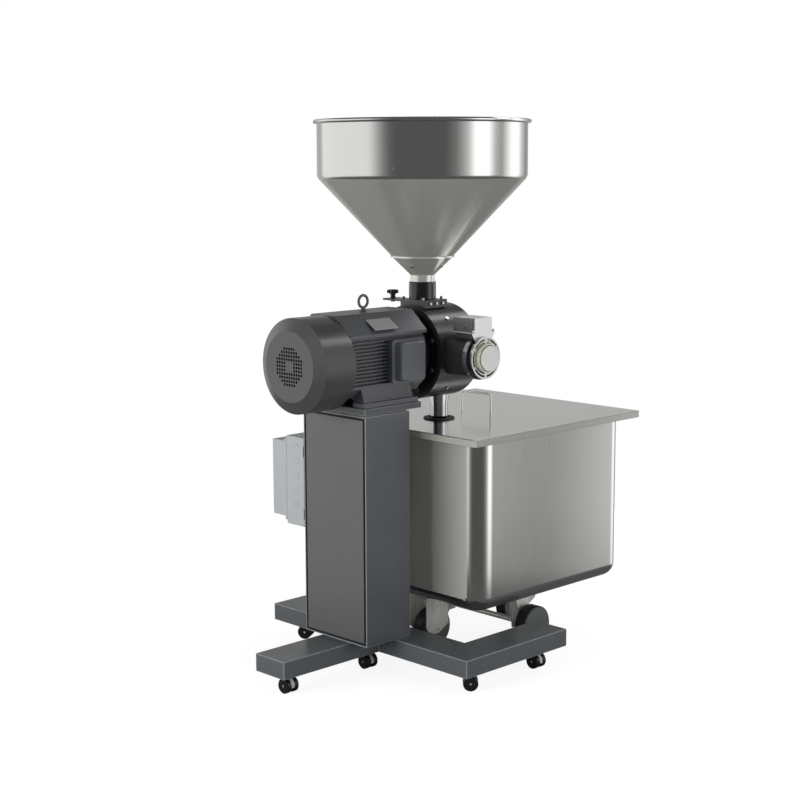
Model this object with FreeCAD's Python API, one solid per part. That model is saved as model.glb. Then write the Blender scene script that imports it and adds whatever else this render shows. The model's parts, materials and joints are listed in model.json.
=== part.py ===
import FreeCAD, Part
import math
import os

# Industrial coffee grinder with its collecting trolley. Millimetres, +Z up, floor at Z = 0.
# +X runs from the motor fan to the grinding chamber and the trolley, +Y is the operator's side.
# The origin lies on the floor under the hopper's axis, in the middle of the machine's length.

# Running and seating clearances
run_gap = 0.05
slide_gap = 0.2
seat_gap = 0.3
burr_gap = 2.6

# Base frame: four mitred box beams, open towards the trolley
beam_width = 140.0
beam_height = 60.0
beam_bottom = 66.0
stem_end_x = -699.0
cross_x = -282.0
leg_end_x = 215.0
base_half_span = 473.0
beam_top = beam_bottom + beam_height

# Twin-wheel swivel castors under the base
castor_radius = 25.0
castor_wheel_width = 17.0
castor_body_width = 15.0
castor_trail = 16.0
castor_plate = 46.0
castor_plate_height = 4.0
castor_stem_radius = 9.0
castor_pin_radius = 4.0
castor_end_inset = 64.0
castor_leg_inset = 95.0

# Column
column_x0 = -412.5
column_depth = 200.0
column_width = 300.0
column_height = 762.0
column_wall = 4.0
panel_thickness = 3.0
panel_reveal = 8.0
panel_return = 22.0
panel_lip = 40.0
column_top = beam_top + column_height
column_x1 = column_x0 + column_depth
column_y1 = column_width / 2

# Motor bed on top of the column
bed_spacer = 5.0
bed_inset = 7.0
bed_thickness = 20.0
bed_overhang = 54.0
bed_top = column_top + bed_spacer + bed_thickness

# Motor
axis_height_above_bed = 142.0
motor_z = bed_top + axis_height_above_bed
cowl_radius = 154.0
cowl_length = 147.0
cowl_chamfer = 20.0
cowl_face_radius = 114.0
cowl_sheet = 2.5
grille_pitch = 11.5
grille_hole = 8.0
grille_radius = 62.0
housing_length = 342.0
housing_top = 155.0
housing_top_half = 58.0
housing_shoulder_half = 128.0
housing_shoulder_z = 92.0
housing_waist_half = 108.0
housing_waist_z = 82.0
housing_keel_half = 78.0
housing_keel_z = 112.0
fin_count = 13
fin_thickness = 2.6
fin_reach = 130.0
fin_zone_half = 70.0
foot_length = 240.0
foot_width = 58.0
foot_outer = 138.0
foot_thickness = 16.0
foot_web_end = 10.0
fan_radius = 122.0
fan_width = 52.0
fan_blades = 8
fan_blade_thickness = 4.0
fan_hub_radius = 34.0
shaft_radius = 24.0
shaft_nose_radius = 19.0
shield_radius = 122.0
shield_neck_radius = 104.0
flange_radius = 146.0
flange_thickness = 16.0
flange_step = 4.0
flange_bolt_circle = 130.0
flange_bolt_count = 8

# Terminal box on the motor's -Y side
terminal_x = -219.0
terminal_width = 149.0
terminal_height = 142.0
terminal_depth = 46.0
terminal_rim = 8.0
terminal_raise = 24.0
terminal_cover_x = 112.0
terminal_cover_z = 126.0
terminal_chamfer = 4.0
terminal_corner = 12.0

# Lifting eye
eye_x = -277.0
eye_ring_radius = 20.0
eye_wire_radius = 4.5
eye_stem = 12.0
eye_collar_radius = 11.0

# Grinding chamber
drum_radius = 160.0
drum_wall = 12.0
drum_x0 = -70.0
drum_x1 = 112.0
drum_recess = 12.0
drum_back_wall = 12.0
drum_cover = 8.0
neck_half = 53.0
neck_top = 1217.0
feed_bore = 38.0
chute_wall = 4.0
sleeve_outer = 62.0
sleeve_inner = 52.0
sleeve_x1 = 44.0
cover_bolt_circle = 154.0
cover_bolt_count = 8
cover_boss_radius = 46.0
cover_boss = 6.0
drum_screw_x = 5.0

# Burrs, carrier and rotor
carrier_x0 = 46.0
carrier_thickness = 12.0
carrier_collar_x0 = -14.0
carrier_collar_radius = 76.0
burr_outer = 110.0
burr_inner = 52.0
burr_thickness = 12.0
burr_groove_count = 12
burr_groove_depth = 3.0
burr_groove_width = 8.0
rotor_radius = 116.0
rotor_thickness = 10.0
rotor_hub_radius = 27.0
paddle_count = 4
paddle_reach = 140.0
paddle_width = 10.0
paddle_length = 8.0
screw_radius = 47.0
screw_pitch = 66.0
screw_thickness = 6.0
screw_x0 = -38.0
screw_turns = 1.5

# Grind adjuster on the -Y side
adjuster_radius = 70.0
adjuster_wall = 10.0
adjuster_y = -254.0
adjuster_flange_radius = 74.0
adjuster_flange = 18.0
spindle_radius = 12.0
spindle_nose_radius = 10.0
eccentric_throw = 2.5
eccentric_radius = 6.0
slot_clearance = 0.4
wheel_radius = 70.0
wheel_rim = 6.0
wheel_rim_depth = 8.0
wheel_ring_outer = 57.0
wheel_ring_inner = 53.0
wheel_cup_radius = 49.0
wheel_cup_wall = 4.0
wheel_cup_proud = 14.0
wheel_disc_radius = 42.0
wheel_disc_proud = 19.0
wheel_spokes = 6
wheel_spoke_width = 10.0
wheel_hub_radius = 24.0
wheel_front_y = -293.0

# Sheet box above the adjuster
sheet_box_x = 87.0
sheet_box_y0 = -270.0
sheet_box_y1 = -187.0
sheet_box_z0 = 1138.5
sheet_box_height = 48.5
sheet_slit = 5.0
sheet_slit_depth = 7.0
sheet_cover = 6.0
sheet_cover_inset = 1.5
sheet_ear = 9.0
sheet_lip = 11.0
sheet_plate = 3.0
sheet_apron_drop = 42.0
sheet_apron_taper = 14.0

# Slide gate between chamber and feed pipe
gate_half = 53.0
gate_plate = 5.0
gate_channel = 6.0
gate_rail = 15.0
blade_tip_y = 164.0
blade_back_y = -48.0
gate_travel = 88.0
knob_y = 144.0
knob_radius = 21.0
knob_lobes = 5
knob_head = 12.0
knob_stem_radius = 9.0
knob_stem_height = 17.0
knob_nut_radius = 7.5
knob_nut = 7.0
latch_depth = 12.0
latch_height = 26.0
gate_top = neck_top + 2 * gate_plate + gate_channel

# Feed pipe and hopper
pipe_radius = 46.0
pipe_wall = 6.0
pipe_height = 60.0
neck_radius = 41.0
neck_height = 22.0
steel_sheet = 2.0
collar_radius = 103.0
collar_height = 88.0
collar_lip = 5.0
hopper_radius = 354.0
hopper_cone_height = 262.0
hopper_wall_height = 184.0
hopper_bend = 30.0
hopper_rim_wire = 7.0
pipe_top = gate_top + pipe_height
collar_top = pipe_top + collar_height
hopper_shoulder = collar_top + hopper_cone_height
hopper_top = hopper_shoulder + hopper_wall_height

# Outlet spout
spout_x = 81.0
spout_radius = 31.0
spout_wall = 3.0
spout_end_z = 823.0
spout_collar = 2.0
spout_collar_z = 876.0

# Control box on the column's +Y face
box_x0 = -400.0
box_width = 185.0
box_standoff = 15.0
box_base_depth = 90.0
box_base_z0 = 476.0
box_base_height = 305.0
box_cover_depth = 78.0
box_cover_inset_z = 22.0
box_cover_inset_x = 6.0
box_wall = 4.0
box_lug_height = 36.0
box_lug_width = 40.0
box_lug_proud = 4.0
button_radius = 14.0
button_collar = 4.0
button_proud = 5.0
button_travel = 4.0
button_pitch = 70.0
button_stem = 22.0

# Trolley
trolley_x = 279.0
lid_x = 270.0
lid_length = 858.0
lid_width = 794.0
lid_top = 812.0
lid_skirt_depth = 24.0
lid_hem = 8.0
lid_sheet = 2.0
lid_hole_radius = 36.0
ring_radius = 54.5
ring_height = 5.0
tub_length = 764.0
tub_width = 718.0
tub_bottom = 212.0
tub_corner = 70.0
tub_edge = 50.0
tub_sheet = 2.5
pad_size = 116.0
pad_thickness = 6.0
grip_half = 70.0
grip_height = 71.0
grip_wire = 4.0
grip_bend = 14.0
bar_z = 752.0
bar_half = 318.0
bar_standoff = 18.0
bar_wire = 6.0
axle_x = 312.0
axle_radius = 10.0
axle_collar = 14.0
axle_cap = 6.0
fixed_wheel_y = 235.0
bracket_y = 175.0
bracket_half = 18.0
bracket_top_half = 42.0
bracket_foot_half = 20.0
bracket_bottom = 46.0
swivel_mid_x = 260.0
swivel_offset = 252.0
swivel_trail = 38.0
swivel_pin_radius = 6.0
roller_radius = 70.0
roller_width = 50.0
roller_edge = 5.0
fork_lead = 17.0
fork_gap = 6.0
fork_sheet = 3.0
fork_web_half = 22.0
fork_half = 55.0
fork_flare = 13.0
fork_bottom = 54.0
fork_corner = 34.0
fork_plate = 5.0
swivel_race_radius = 40.0
swivel_race = 12.0
trolley_travel = 750.0


def box(x0, x1, y0, y1, z0, z1):
    """A box between two corners."""
    return Part.makeBox(x1 - x0, y1 - y0, z1 - z0, FreeCAD.Vector(x0, y0, z0))


def cyl_x(radius, x0, x1, y=0.0, z=0.0):
    """A cylinder along X."""
    return Part.makeCylinder(radius, x1 - x0, FreeCAD.Vector(x0, y, z), FreeCAD.Vector(1, 0, 0))


def cyl_y(radius, y0, y1, x=0.0, z=0.0):
    """A cylinder along Y."""
    return Part.makeCylinder(radius, y1 - y0, FreeCAD.Vector(x, y0, z), FreeCAD.Vector(0, 1, 0))


def cyl_z(radius, z0, z1, x=0.0, y=0.0):
    """A cylinder along Z."""
    return Part.makeCylinder(radius, z1 - z0, FreeCAD.Vector(x, y, z0), FreeCAD.Vector(0, 0, 1))


def polygon(points):
    """A closed wire through points."""
    corners = [FreeCAD.Vector(*p) for p in points]
    return Part.makePolygon(corners + [corners[0]])


def prism(points, direction):
    """A closed polygon of points swept along a direction."""
    return Part.Face(polygon(points)).extrude(FreeCAD.Vector(*direction))


def revolve(points, centre, axis):
    """A closed polygon of points turned once round an axis."""
    return Part.Face(polygon(points)).revolve(FreeCAD.Vector(*centre), FreeCAD.Vector(*axis), 360)


def spun_x(profile, z):
    """A profile of (x, radius) points turned round an axis along X at height z."""
    return revolve([(x, 0, z + r) for x, r in profile], (0, 0, z), (1, 0, 0))


def spun_z(profile, x=0.0, y=0.0):
    """A profile of (radius, z) points turned round an axis along Z."""
    return revolve([(x + r, y, z) for r, z in profile], (x, y, 0), (0, 0, 1))


def turned(shape, centre, axis, angle):
    """A copy turned by an angle in degrees."""
    copy = shape.copy()
    copy.rotate(FreeCAD.Vector(*centre), FreeCAD.Vector(*axis), angle)
    return copy


def ring_of(shape, count, centre, axis, first=0.0):
    """Copies of a shape spaced evenly round an axis."""
    return [turned(shape, centre, axis, first + 360.0 * i / count) for i in range(count)]


def fused(shapes):
    """All shapes joined in one solid."""
    return shapes[0].multiFuse(shapes[1:]).removeSplitter()


def group(shapes):
    """Separate solids kept in one node."""
    return Part.makeCompound(shapes)


def hexagon(across, centre, axis, length):
    """A hexagonal prism such as a bolt head, its axis along X, Y or Z."""
    r = across / math.sqrt(3)
    a, b = ((1, 2), (0, 2), (0, 1))[axis]
    points = []
    for i in range(6):
        p = list(centre)
        p[a] += r * math.cos(math.radians(60 * i))
        p[b] += r * math.sin(math.radians(60 * i))
        points.append(p)
    direction = [0, 0, 0]
    direction[axis] = length
    return prism(points, direction)


def wire_sweep(radius, points, bend):
    """A round wire along straight runs joined by tangent arcs, through points."""
    corners = [FreeCAD.Vector(*p) for p in points]
    edges = []
    start = corners[0]
    for here, after in zip(corners[1:-1], corners[2:]):
        back = (start - here).normalize()
        ahead = (after - here).normalize()
        first = here + back * bend
        last = here + ahead * bend
        middle = here + (back + ahead) * bend * (1 - math.sqrt(0.5))
        edges.append(Part.LineSegment(start, first).toShape())
        edges.append(Part.Arc(first, middle, last).toShape())
        start = last
    edges.append(Part.LineSegment(start, corners[-1]).toShape())
    direction = corners[1] - corners[0]
    ring = Part.Wire(Part.makeCircle(radius, corners[0], direction))
    return Part.Wire(edges).makePipeShell([ring], True, True)


# Base

def base_frame():
    """The stem, the cross-beam and the two legs in one welded frame."""
    stem = beam_width / 2
    inner_x = cross_x + beam_width
    inner_y = base_half_span - beam_width
    outline = [(stem_end_x, -stem), (cross_x, -stem), (cross_x, -base_half_span),
               (leg_end_x, -base_half_span), (leg_end_x, -inner_y), (inner_x, -inner_y),
               (inner_x, inner_y), (leg_end_x, inner_y), (leg_end_x, base_half_span),
               (cross_x, base_half_span), (cross_x, stem), (stem_end_x, stem)]
    return prism([(x, y, beam_bottom) for x, y in outline], (0, 0, beam_height))


def castor_places():
    """Name, stem axis and heading of each castor under the base."""
    side = base_half_span - beam_width / 2
    corner_x = cross_x + beam_width / 2
    end_x = stem_end_x + castor_end_inset
    leg_x = leg_end_x - castor_leg_inset
    return [("stem_castor", end_x, 0.0, -90.0),
            ("middle_castor", cross_x, 0.0, -90.0),
            ("right_corner_castor", corner_x, -side, -45.0),
            ("left_corner_castor", corner_x, side, -60.0),
            ("right_leg_castor", leg_x, -side, -90.0),
            ("left_leg_castor", leg_x, side, -90.0)]


def castor_fork(x, y, heading):
    """The swivelling body between a castor's two wheels, with its plate, stem and axle pin."""
    top = beam_bottom - seat_gap
    half = castor_body_width / 2
    wheel_x = x + castor_trail
    hood = cyl_y(castor_radius - 2, y - half, y + half, wheel_x, castor_radius)
    hood = hood.cut(box(x - 60, x + 80, y - 30, y + 30, 0, castor_radius - 6))
    neck = box(x - castor_stem_radius, wheel_x, y - half, y + half, castor_radius + 4, top - 8)
    stem = cyl_z(castor_stem_radius, 2 * castor_radius + 2, top, x, y)
    plate = box(x - castor_plate / 2, x + castor_plate / 2, y - castor_plate / 2, y + castor_plate / 2,
                top - castor_plate_height, top)
    reach = half + castor_wheel_width - 2
    pin = cyl_y(castor_pin_radius, y - reach, y + reach, wheel_x, castor_radius)
    return turned(fused([hood, neck, stem, plate, pin]), (x, y, 0), (0, 0, 1), heading)


def castor_wheels(x, y, heading):
    """The two wheels of one castor, which roll on its pin."""
    wheels = []
    bore = castor_pin_radius + run_gap
    inner = castor_body_width / 2 + seat_gap
    for side in (-1, 1):
        near = side * inner
        far = side * (inner + castor_wheel_width)
        rim = castor_radius - 3
        profile = [(bore, near), (castor_radius, near), (castor_radius, far - side * 3), (rim, far),
                   (bore, far)]
        wheel_x = x + castor_trail
        points = [(wheel_x + r, y + across, castor_radius) for r, across in profile]
        wheels.append(revolve(points, (wheel_x, 0, castor_radius), (0, 1, 0)))
    return turned(group(wheels), (x, y, 0), (0, 0, 1), heading)


# Column

def column_shell():
    """The folded column, open on its -X side, with set-back lips that carry the cover panel."""
    outer = box(column_x0, column_x1, -column_y1, column_y1, beam_top, column_top)
    lip_x = column_x0 + panel_return
    inner_x = lip_x + column_wall
    side = column_y1 - column_wall
    hollow = box(inner_x, column_x1 - column_wall, -side, side, beam_top + column_wall,
                 column_top - column_wall)
    mouth = box(column_x0, lip_x, -side, side, beam_top + column_wall, column_top - column_wall)
    lip = column_wall + panel_lip
    window = box(lip_x, inner_x, lip - column_y1, column_y1 - lip, beam_top + lip, column_top - lip)
    return outer.cut(hollow).cut(mouth).cut(window)


def column_panel():
    """The tray-shaped cover panel, set in the column's mouth with a reveal all round."""
    inset = column_wall + panel_reveal
    half = column_y1 - inset
    tray = box(column_x0, column_x0 + panel_return, -half, half, beam_top + inset, column_top - inset)
    t = panel_thickness
    inside = box(column_x0 + t, column_x0 + panel_return, t - half, half - t, beam_top + inset + t,
                 column_top - inset - t)
    return tray.cut(inside)


def bed_plate():
    """The plate that carries the motor, on a smaller spacer that leaves a shadow gap."""
    spacer = box(column_x0 + bed_inset, column_x1 - bed_inset, bed_inset - column_y1,
                 column_y1 - bed_inset, column_top, column_top + bed_spacer)
    plate = box(column_x0, column_x1 + bed_overhang, -column_y1, column_y1, column_top + bed_spacer,
                bed_top)
    return fused([spacer, plate])


# Motor

housing_x1 = drum_x0 + drum_recess - flange_thickness - 36
housing_x0 = housing_x1 - housing_length
cowl_x1 = housing_x0
cowl_x0 = cowl_x1 - cowl_length


def motor_housing():
    """The finned housing with its two feet and the bore for the shaft."""
    half = [(housing_top_half, housing_top), (housing_shoulder_half, housing_shoulder_z),
            (housing_shoulder_half, housing_waist_z), (housing_waist_half, housing_waist_z - 4),
            (housing_waist_half, -housing_waist_z), (housing_keel_half, -housing_keel_z)]
    outline = half + [(-y, z) for y, z in reversed(half)]
    core = prism([(housing_x0, y, motor_z + z) for y, z in outline], (housing_length, 0, 0))
    pieces = [core]
    pitch = 2 * fin_zone_half / (fin_count - 1)
    for i in range(fin_count):
        z = motor_z - fin_zone_half + i * pitch
        pieces.append(box(housing_x0 + 12, housing_x1 - 12, -fin_reach, fin_reach,
                          z - fin_thickness / 2, z + fin_thickness / 2))
    foot_x0 = (housing_x0 + housing_x1 - foot_length) / 2
    for side in (-1, 1):
        outer = side * foot_outer
        inner = side * (foot_outer - foot_width)
        low, high = sorted((outer, inner))
        pieces.append(box(foot_x0, foot_x0 + foot_length, low, high, bed_top, bed_top + foot_thickness))
        web = [(outer - side * 14, bed_top + foot_thickness), (inner, bed_top + foot_thickness),
               (side * (housing_keel_half - 30), motor_z - housing_keel_z + 4),
               (side * housing_waist_half, motor_z - housing_waist_z)]
        web_x = foot_x0 + foot_web_end
        pieces.append(prism([(web_x, y, z) for y, z in web], (foot_length - 2 * foot_web_end, 0, 0)))
    body = fused(pieces)
    return body.cut(cyl_x(shaft_radius + run_gap, housing_x0 - 1, housing_x1 + 1, 0, motor_z))


def drive_flange():
    """The motor's drive end shield with its mounting flange."""
    face = drum_x0 + drum_recess
    back = face - flange_thickness
    profile = [(housing_x1, shaft_radius + run_gap), (housing_x1, shield_radius),
               (housing_x1 + 12, shield_radius), (back - 6, shield_neck_radius),
               (back, shield_neck_radius), (back, flange_radius), (face, flange_radius),
               (face, shaft_radius + run_gap)]
    return spun_x(profile, motor_z)


def grille_cells():
    """Centres of the cowl's square holes, in steps from the middle."""
    reach = int(grille_radius / grille_pitch)
    cells = []
    for row in range(-reach, reach + 1):
        for column in range(-reach, reach + 1):
            inside = math.hypot(row, column) * grille_pitch < grille_radius
            middle = abs(row) <= 1 and abs(column) <= 1
            if inside and not middle:
                cells.append((row, column))
    return cells


def fan_cowl():
    """The pressed fan cowl with its grille of square holes."""
    sheet = cowl_sheet
    outer = [(cowl_x1, cowl_radius), (cowl_x0 + cowl_chamfer, cowl_radius), (cowl_x0, cowl_face_radius),
             (cowl_x0, 0), (cowl_x0 + sheet, 0), (cowl_x0 + sheet, cowl_face_radius - sheet / 2),
             (cowl_x0 + cowl_chamfer + sheet / 2, cowl_radius - sheet), (cowl_x1, cowl_radius - sheet)]
    shell = spun_x(outer, motor_z)
    half = grille_hole / 2
    holes = []
    for row, column in grille_cells():
        y = column * grille_pitch
        z = motor_z + row * grille_pitch
        holes.append(box(cowl_x0 - 1, cowl_x0 + sheet + 1, y - half, y + half, z - half, z + half))
    seat = spun_x([(cowl_x1 - 14, cowl_radius - sheet), (cowl_x1 - 14, shield_radius - 4),
                   (cowl_x1, shield_radius - 4), (cowl_x1, cowl_radius - sheet)], motor_z)
    bars = []
    for bar in ring_of(box(cowl_x1 - 14, cowl_x1, -14, 14, motor_z + shield_radius - 8,
                           motor_z + cowl_radius - sheet + 1), 4, (0, 0, motor_z), (1, 0, 0), 45):
        bars.append(bar.common(seat))
    return fused([shell.cut(group(holes))] + bars)


def fan():
    """The cooling fan on the shaft's rear end."""
    x1 = cowl_x1 - 22
    x0 = x1 - fan_width
    bore = shaft_nose_radius
    hub = spun_x([(x0, bore), (x0, fan_hub_radius), (x1 - 5, fan_hub_radius), (x1 - 5, fan_radius),
                  (x1, fan_radius), (x1, bore)], motor_z)
    blade = box(x0, x1 - 4, -fan_blade_thickness / 2, fan_blade_thickness / 2,
                motor_z + fan_hub_radius - 2, motor_z + fan_radius)
    return fused([hub] + ring_of(blade, fan_blades, (0, 0, motor_z), (1, 0, 0), 11))


rotor_x0 = carrier_x0 + carrier_thickness + burr_thickness + burr_gap + burr_thickness
shaft_end_x = rotor_x0 + rotor_thickness
fan_x0 = cowl_x1 - 22 - fan_width


def motor_shaft():
    """The shaft, which carries the fan behind the housing and the burr in the chamber."""
    shoulder = drum_x0 + drum_recess
    profile = [(fan_x0 - 4, 0), (fan_x0 - 4, shaft_nose_radius), (housing_x0 + 4, shaft_nose_radius),
               (housing_x0 + 4, shaft_radius), (shoulder, shaft_radius), (shoulder, shaft_nose_radius),
               (shaft_end_x, shaft_nose_radius), (shaft_end_x, 12), (shaft_end_x + 8, 12),
               (shaft_end_x + 8, 0)]
    return spun_x(profile, motor_z)


def rounded_slab(x, z, width, height, corner, y0, y1):
    """A slab across Y with rounded corners, centred on x and z."""
    slab = box(x - width / 2, x + width / 2, y0, y1, z - height / 2, z + height / 2)
    corners = [edge for edge in slab.Edges if edge.BoundBox.YLength > 1]
    return slab.makeFillet(corner, corners)


def terminal_box():
    """The terminal box with its raised cover."""
    y_base = -housing_waist_half
    y_rim = y_base - terminal_depth
    body = rounded_slab(terminal_x, motor_z, terminal_width - 10, terminal_height - 10,
                        terminal_corner - 5, y_rim + terminal_rim, y_base)
    rim = rounded_slab(terminal_x, motor_z, terminal_width, terminal_height, terminal_corner, y_rim,
                       y_rim + terminal_rim)
    raised = rounded_slab(terminal_x, motor_z, terminal_cover_x, terminal_cover_z, terminal_corner,
                          y_rim - terminal_raise, y_rim)
    front = [edge for edge in raised.Edges if edge.BoundBox.YMax < y_rim - terminal_raise + 0.01]
    raised = raised.makeChamfer(terminal_chamfer, front)
    x0 = terminal_x - terminal_width / 2
    x1 = terminal_x + terminal_width / 2
    gap = fin_reach - housing_waist_half + 1
    fins = box(x0 - 1, x1 + 1, y_base - gap, y_base, motor_z - fin_zone_half - 4,
               motor_z + fin_zone_half + 4)
    clear = motor_housing().common(fins)
    return fused([body, rim, raised]).cut(clear)


def lifting_eye():
    """The lifting eye on top of the motor."""
    foot = motor_z + housing_top
    centre = foot + eye_stem + eye_ring_radius
    ring = Part.makeTorus(eye_ring_radius, eye_wire_radius, FreeCAD.Vector(eye_x, 0, centre),
                          FreeCAD.Vector(0, 1, 0))
    stem = cyl_z(7, foot + 4, foot + eye_stem + 2, eye_x)
    collar = cyl_z(eye_collar_radius, foot, foot + 5, eye_x)
    return fused([ring, stem, collar])


# Grinding chamber

def chamber():
    """The drum with its inlet neck, feed sleeve and the holes for shaft, spindle and outlet."""
    drum = cyl_x(drum_radius, drum_x0, drum_x1, 0, motor_z)
    neck = box(-neck_half, neck_half, -neck_half, neck_half, motor_z + 100, neck_top)
    inside_x = drum_x0 + drum_recess + drum_back_wall
    cavity = cyl_x(drum_radius - drum_wall, inside_x, drum_x1, 0, motor_z)
    recess = cyl_x(flange_radius + run_gap, drum_x0, drum_x0 + drum_recess, 0, motor_z)
    sleeve = cyl_x(sleeve_outer, inside_x - 1, sleeve_x1, 0, motor_z)
    chute = cyl_z(feed_bore + chute_wall, motor_z, motor_z + drum_radius - 4)
    throat = cyl_x(sleeve_inner, inside_x, sleeve_x1, 0, motor_z)
    inlet = cyl_z(feed_bore, motor_z, neck_top)
    shaft_hole = cyl_x(shaft_radius + 2, drum_x0, inside_x, 0, motor_z)
    spindle_hole = cyl_y(spindle_radius + 1, -drum_radius, -drum_radius + 2 * drum_wall, 0, motor_z)
    outlet = cyl_z(spout_radius - spout_wall, motor_z - drum_radius, motor_z - drum_radius / 2, spout_x)
    body = fused([drum, neck]).cut(cavity)
    body = fused([body, sleeve, chute])
    for hole in (recess, throat, inlet, shaft_hole, spindle_hole, outlet):
        body = body.cut(hole)
    return body.removeSplitter()


def chamber_cover():
    """The bolted end cover, which comes off to change the burrs."""
    profile = [(drum_x1, 0), (drum_x1, drum_radius - 1), (drum_x1 + drum_cover, drum_radius - 1),
               (drum_x1 + drum_cover, cover_boss_radius), (drum_x1 + drum_cover + cover_boss,
                                                           cover_boss_radius - 6),
               (drum_x1 + drum_cover + cover_boss, 0)]
    return spun_x(profile, motor_z)


def burr(x_back, x_face):
    """A grinding burr from its back to its toothed face, with radial grooves."""
    low, high = sorted((x_back, x_face))
    ring = cyl_x(burr_outer, low, high, 0, motor_z).cut(cyl_x(burr_inner, low, high, 0, motor_z))
    side = 1 if x_face > x_back else -1
    floor = x_face - side * burr_groove_depth
    g0, g1 = sorted((floor, x_face + side))
    groove = box(g0, g1, -burr_groove_width / 2, burr_groove_width / 2, motor_z + burr_inner - 6,
                 motor_z + burr_outer + 1)
    groove.rotate(FreeCAD.Vector(0, 0, motor_z + burr_inner), FreeCAD.Vector(1, 0, 0), 18 * side)
    return ring.cut(group(ring_of(groove, burr_groove_count, (0, 0, motor_z), (1, 0, 0))))


def fixed_burr():
    """The burr that stands still and moves only along the axis."""
    back = carrier_x0 + carrier_thickness
    return burr(back, back + burr_thickness)


def rotating_burr():
    """The burr on the rotor."""
    return burr(rotor_x0, rotor_x0 - burr_thickness)


def burr_carrier():
    """The sliding carrier of the fixed burr, with the slot for the eccentric pin."""
    plate = cyl_x(drum_radius - drum_wall - run_gap, carrier_x0, carrier_x0 + carrier_thickness, 0,
                  motor_z)
    collar = cyl_x(carrier_collar_radius, carrier_collar_x0, carrier_x0, 0, motor_z)
    bore = cyl_x(sleeve_outer + run_gap, carrier_collar_x0, carrier_x0, 0, motor_z)
    mouth = cyl_x(burr_inner, carrier_x0, carrier_x0 + carrier_thickness, 0, motor_z)
    half = eccentric_radius + slot_clearance
    slot = box(-half, half, -carrier_collar_radius - 1, -sleeve_outer + 1,
               motor_z - half, motor_z + half + eccentric_throw)
    side = feed_bore + chute_wall + 4
    window = box(carrier_collar_x0, carrier_x0, -side, side, motor_z + 30,
                 motor_z + carrier_collar_radius)
    body = fused([plate, collar])
    for hole in (bore, mouth, slot, window):
        body = body.cut(hole)
    return body


def feed_flight():
    """One ruled helical flight of the feed screw."""
    steps = int(12 * screw_turns)
    sections = []
    for i in range(steps + 1):
        x = screw_x0 + screw_pitch * screw_turns * i / steps
        low = motor_z + rotor_hub_radius - 4
        high = motor_z + screw_radius
        wire = polygon([(x, 0, low), (x + screw_thickness, 0, low),
                        (x + screw_thickness, 0, high), (x, 0, high)])
        sections.append(turned(wire, (0, 0, motor_z), (1, 0, 0), 360.0 * screw_turns * i / steps))
    return Part.makeLoft(sections, True, True)


def rotor():
    """The rotor disc with its sweeping paddles, its hub and the feed screw."""
    x1 = rotor_x0 + rotor_thickness
    disc = cyl_x(rotor_radius, rotor_x0, x1, 0, motor_z)
    hub = cyl_x(rotor_hub_radius, screw_x0, rotor_x0, 0, motor_z)
    paddle = box(rotor_x0, x1 + paddle_length, -paddle_width / 2, paddle_width / 2,
                 motor_z + rotor_radius - 20, motor_z + paddle_reach)
    paddles = ring_of(paddle, paddle_count, (0, 0, motor_z), (1, 0, 0), 45)
    body = fused([disc, hub, feed_flight()] + paddles)
    return body.cut(cyl_x(shaft_nose_radius, screw_x0 - 8, x1 + 1, 0, motor_z))


# Grind adjuster

flange_front_y = adjuster_y - adjuster_flange
wheel_back_y = wheel_front_y + wheel_rim_depth


def adjuster_housing():
    """The adjuster's round housing, saddled on the drum, with its inner end wall."""
    tube = cyl_y(adjuster_radius, adjuster_y, -drum_radius / 2, 0, motor_z)
    inside = cyl_y(adjuster_radius - adjuster_wall, adjuster_y + 8, 0, 0, motor_z)
    bore = cyl_y(spindle_radius + run_gap, adjuster_y, 0, 0, motor_z)
    drum = cyl_x(drum_radius, drum_x0 - 50, drum_x1 + 50, 0, motor_z)
    return tube.cut(inside).cut(bore).cut(drum)


def adjuster_spindle():
    """The spindle, with the eccentric pin that shifts the burr carrier."""
    y_nose = flange_front_y - 2
    y_inner = -carrier_collar_radius - 4
    body = cyl_y(spindle_radius, y_nose, y_inner, 0, motor_z)
    nose = cyl_y(spindle_nose_radius, wheel_front_y, y_nose, 0, motor_z)
    pin = cyl_y(eccentric_radius, y_inner, -sleeve_outer - 1.5, 0, motor_z + eccentric_throw)
    return fused([body, nose, pin])


def handwheel():
    """The adjusting handwheel: rim, six spokes, inner ring and a cup with a raised dial disc."""
    front = wheel_front_y
    back = wheel_back_y
    rim = cyl_y(wheel_radius, front, back, 0, motor_z)
    rim = rim.cut(cyl_y(wheel_radius - wheel_rim, front, back, 0, motor_z))
    ring = cyl_y(wheel_ring_outer, front, back, 0, motor_z)
    ring = ring.cut(cyl_y(wheel_ring_inner, front, back, 0, motor_z))
    cup = cyl_y(wheel_cup_radius, front - wheel_cup_proud, back, 0, motor_z)
    cup = cup.cut(cyl_y(wheel_cup_radius - wheel_cup_wall, front - wheel_cup_proud, front, 0, motor_z))
    disc = cyl_y(wheel_disc_radius, front - wheel_disc_proud, front, 0, motor_z)
    hub = cyl_y(wheel_hub_radius, back, flange_front_y - 3, 0, motor_z)
    half = wheel_spoke_width / 2
    spoke = box(-half, half, front + 1, back - 1, motor_z + wheel_cup_radius - 2,
                motor_z + wheel_radius - 1)
    body = fused([rim, ring, cup, disc, hub] + ring_of(spoke, wheel_spokes, (0, 0, motor_z), (0, 1, 0)))
    return body.cut(cyl_y(spindle_nose_radius, front, flange_front_y, 0, motor_z))


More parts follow.
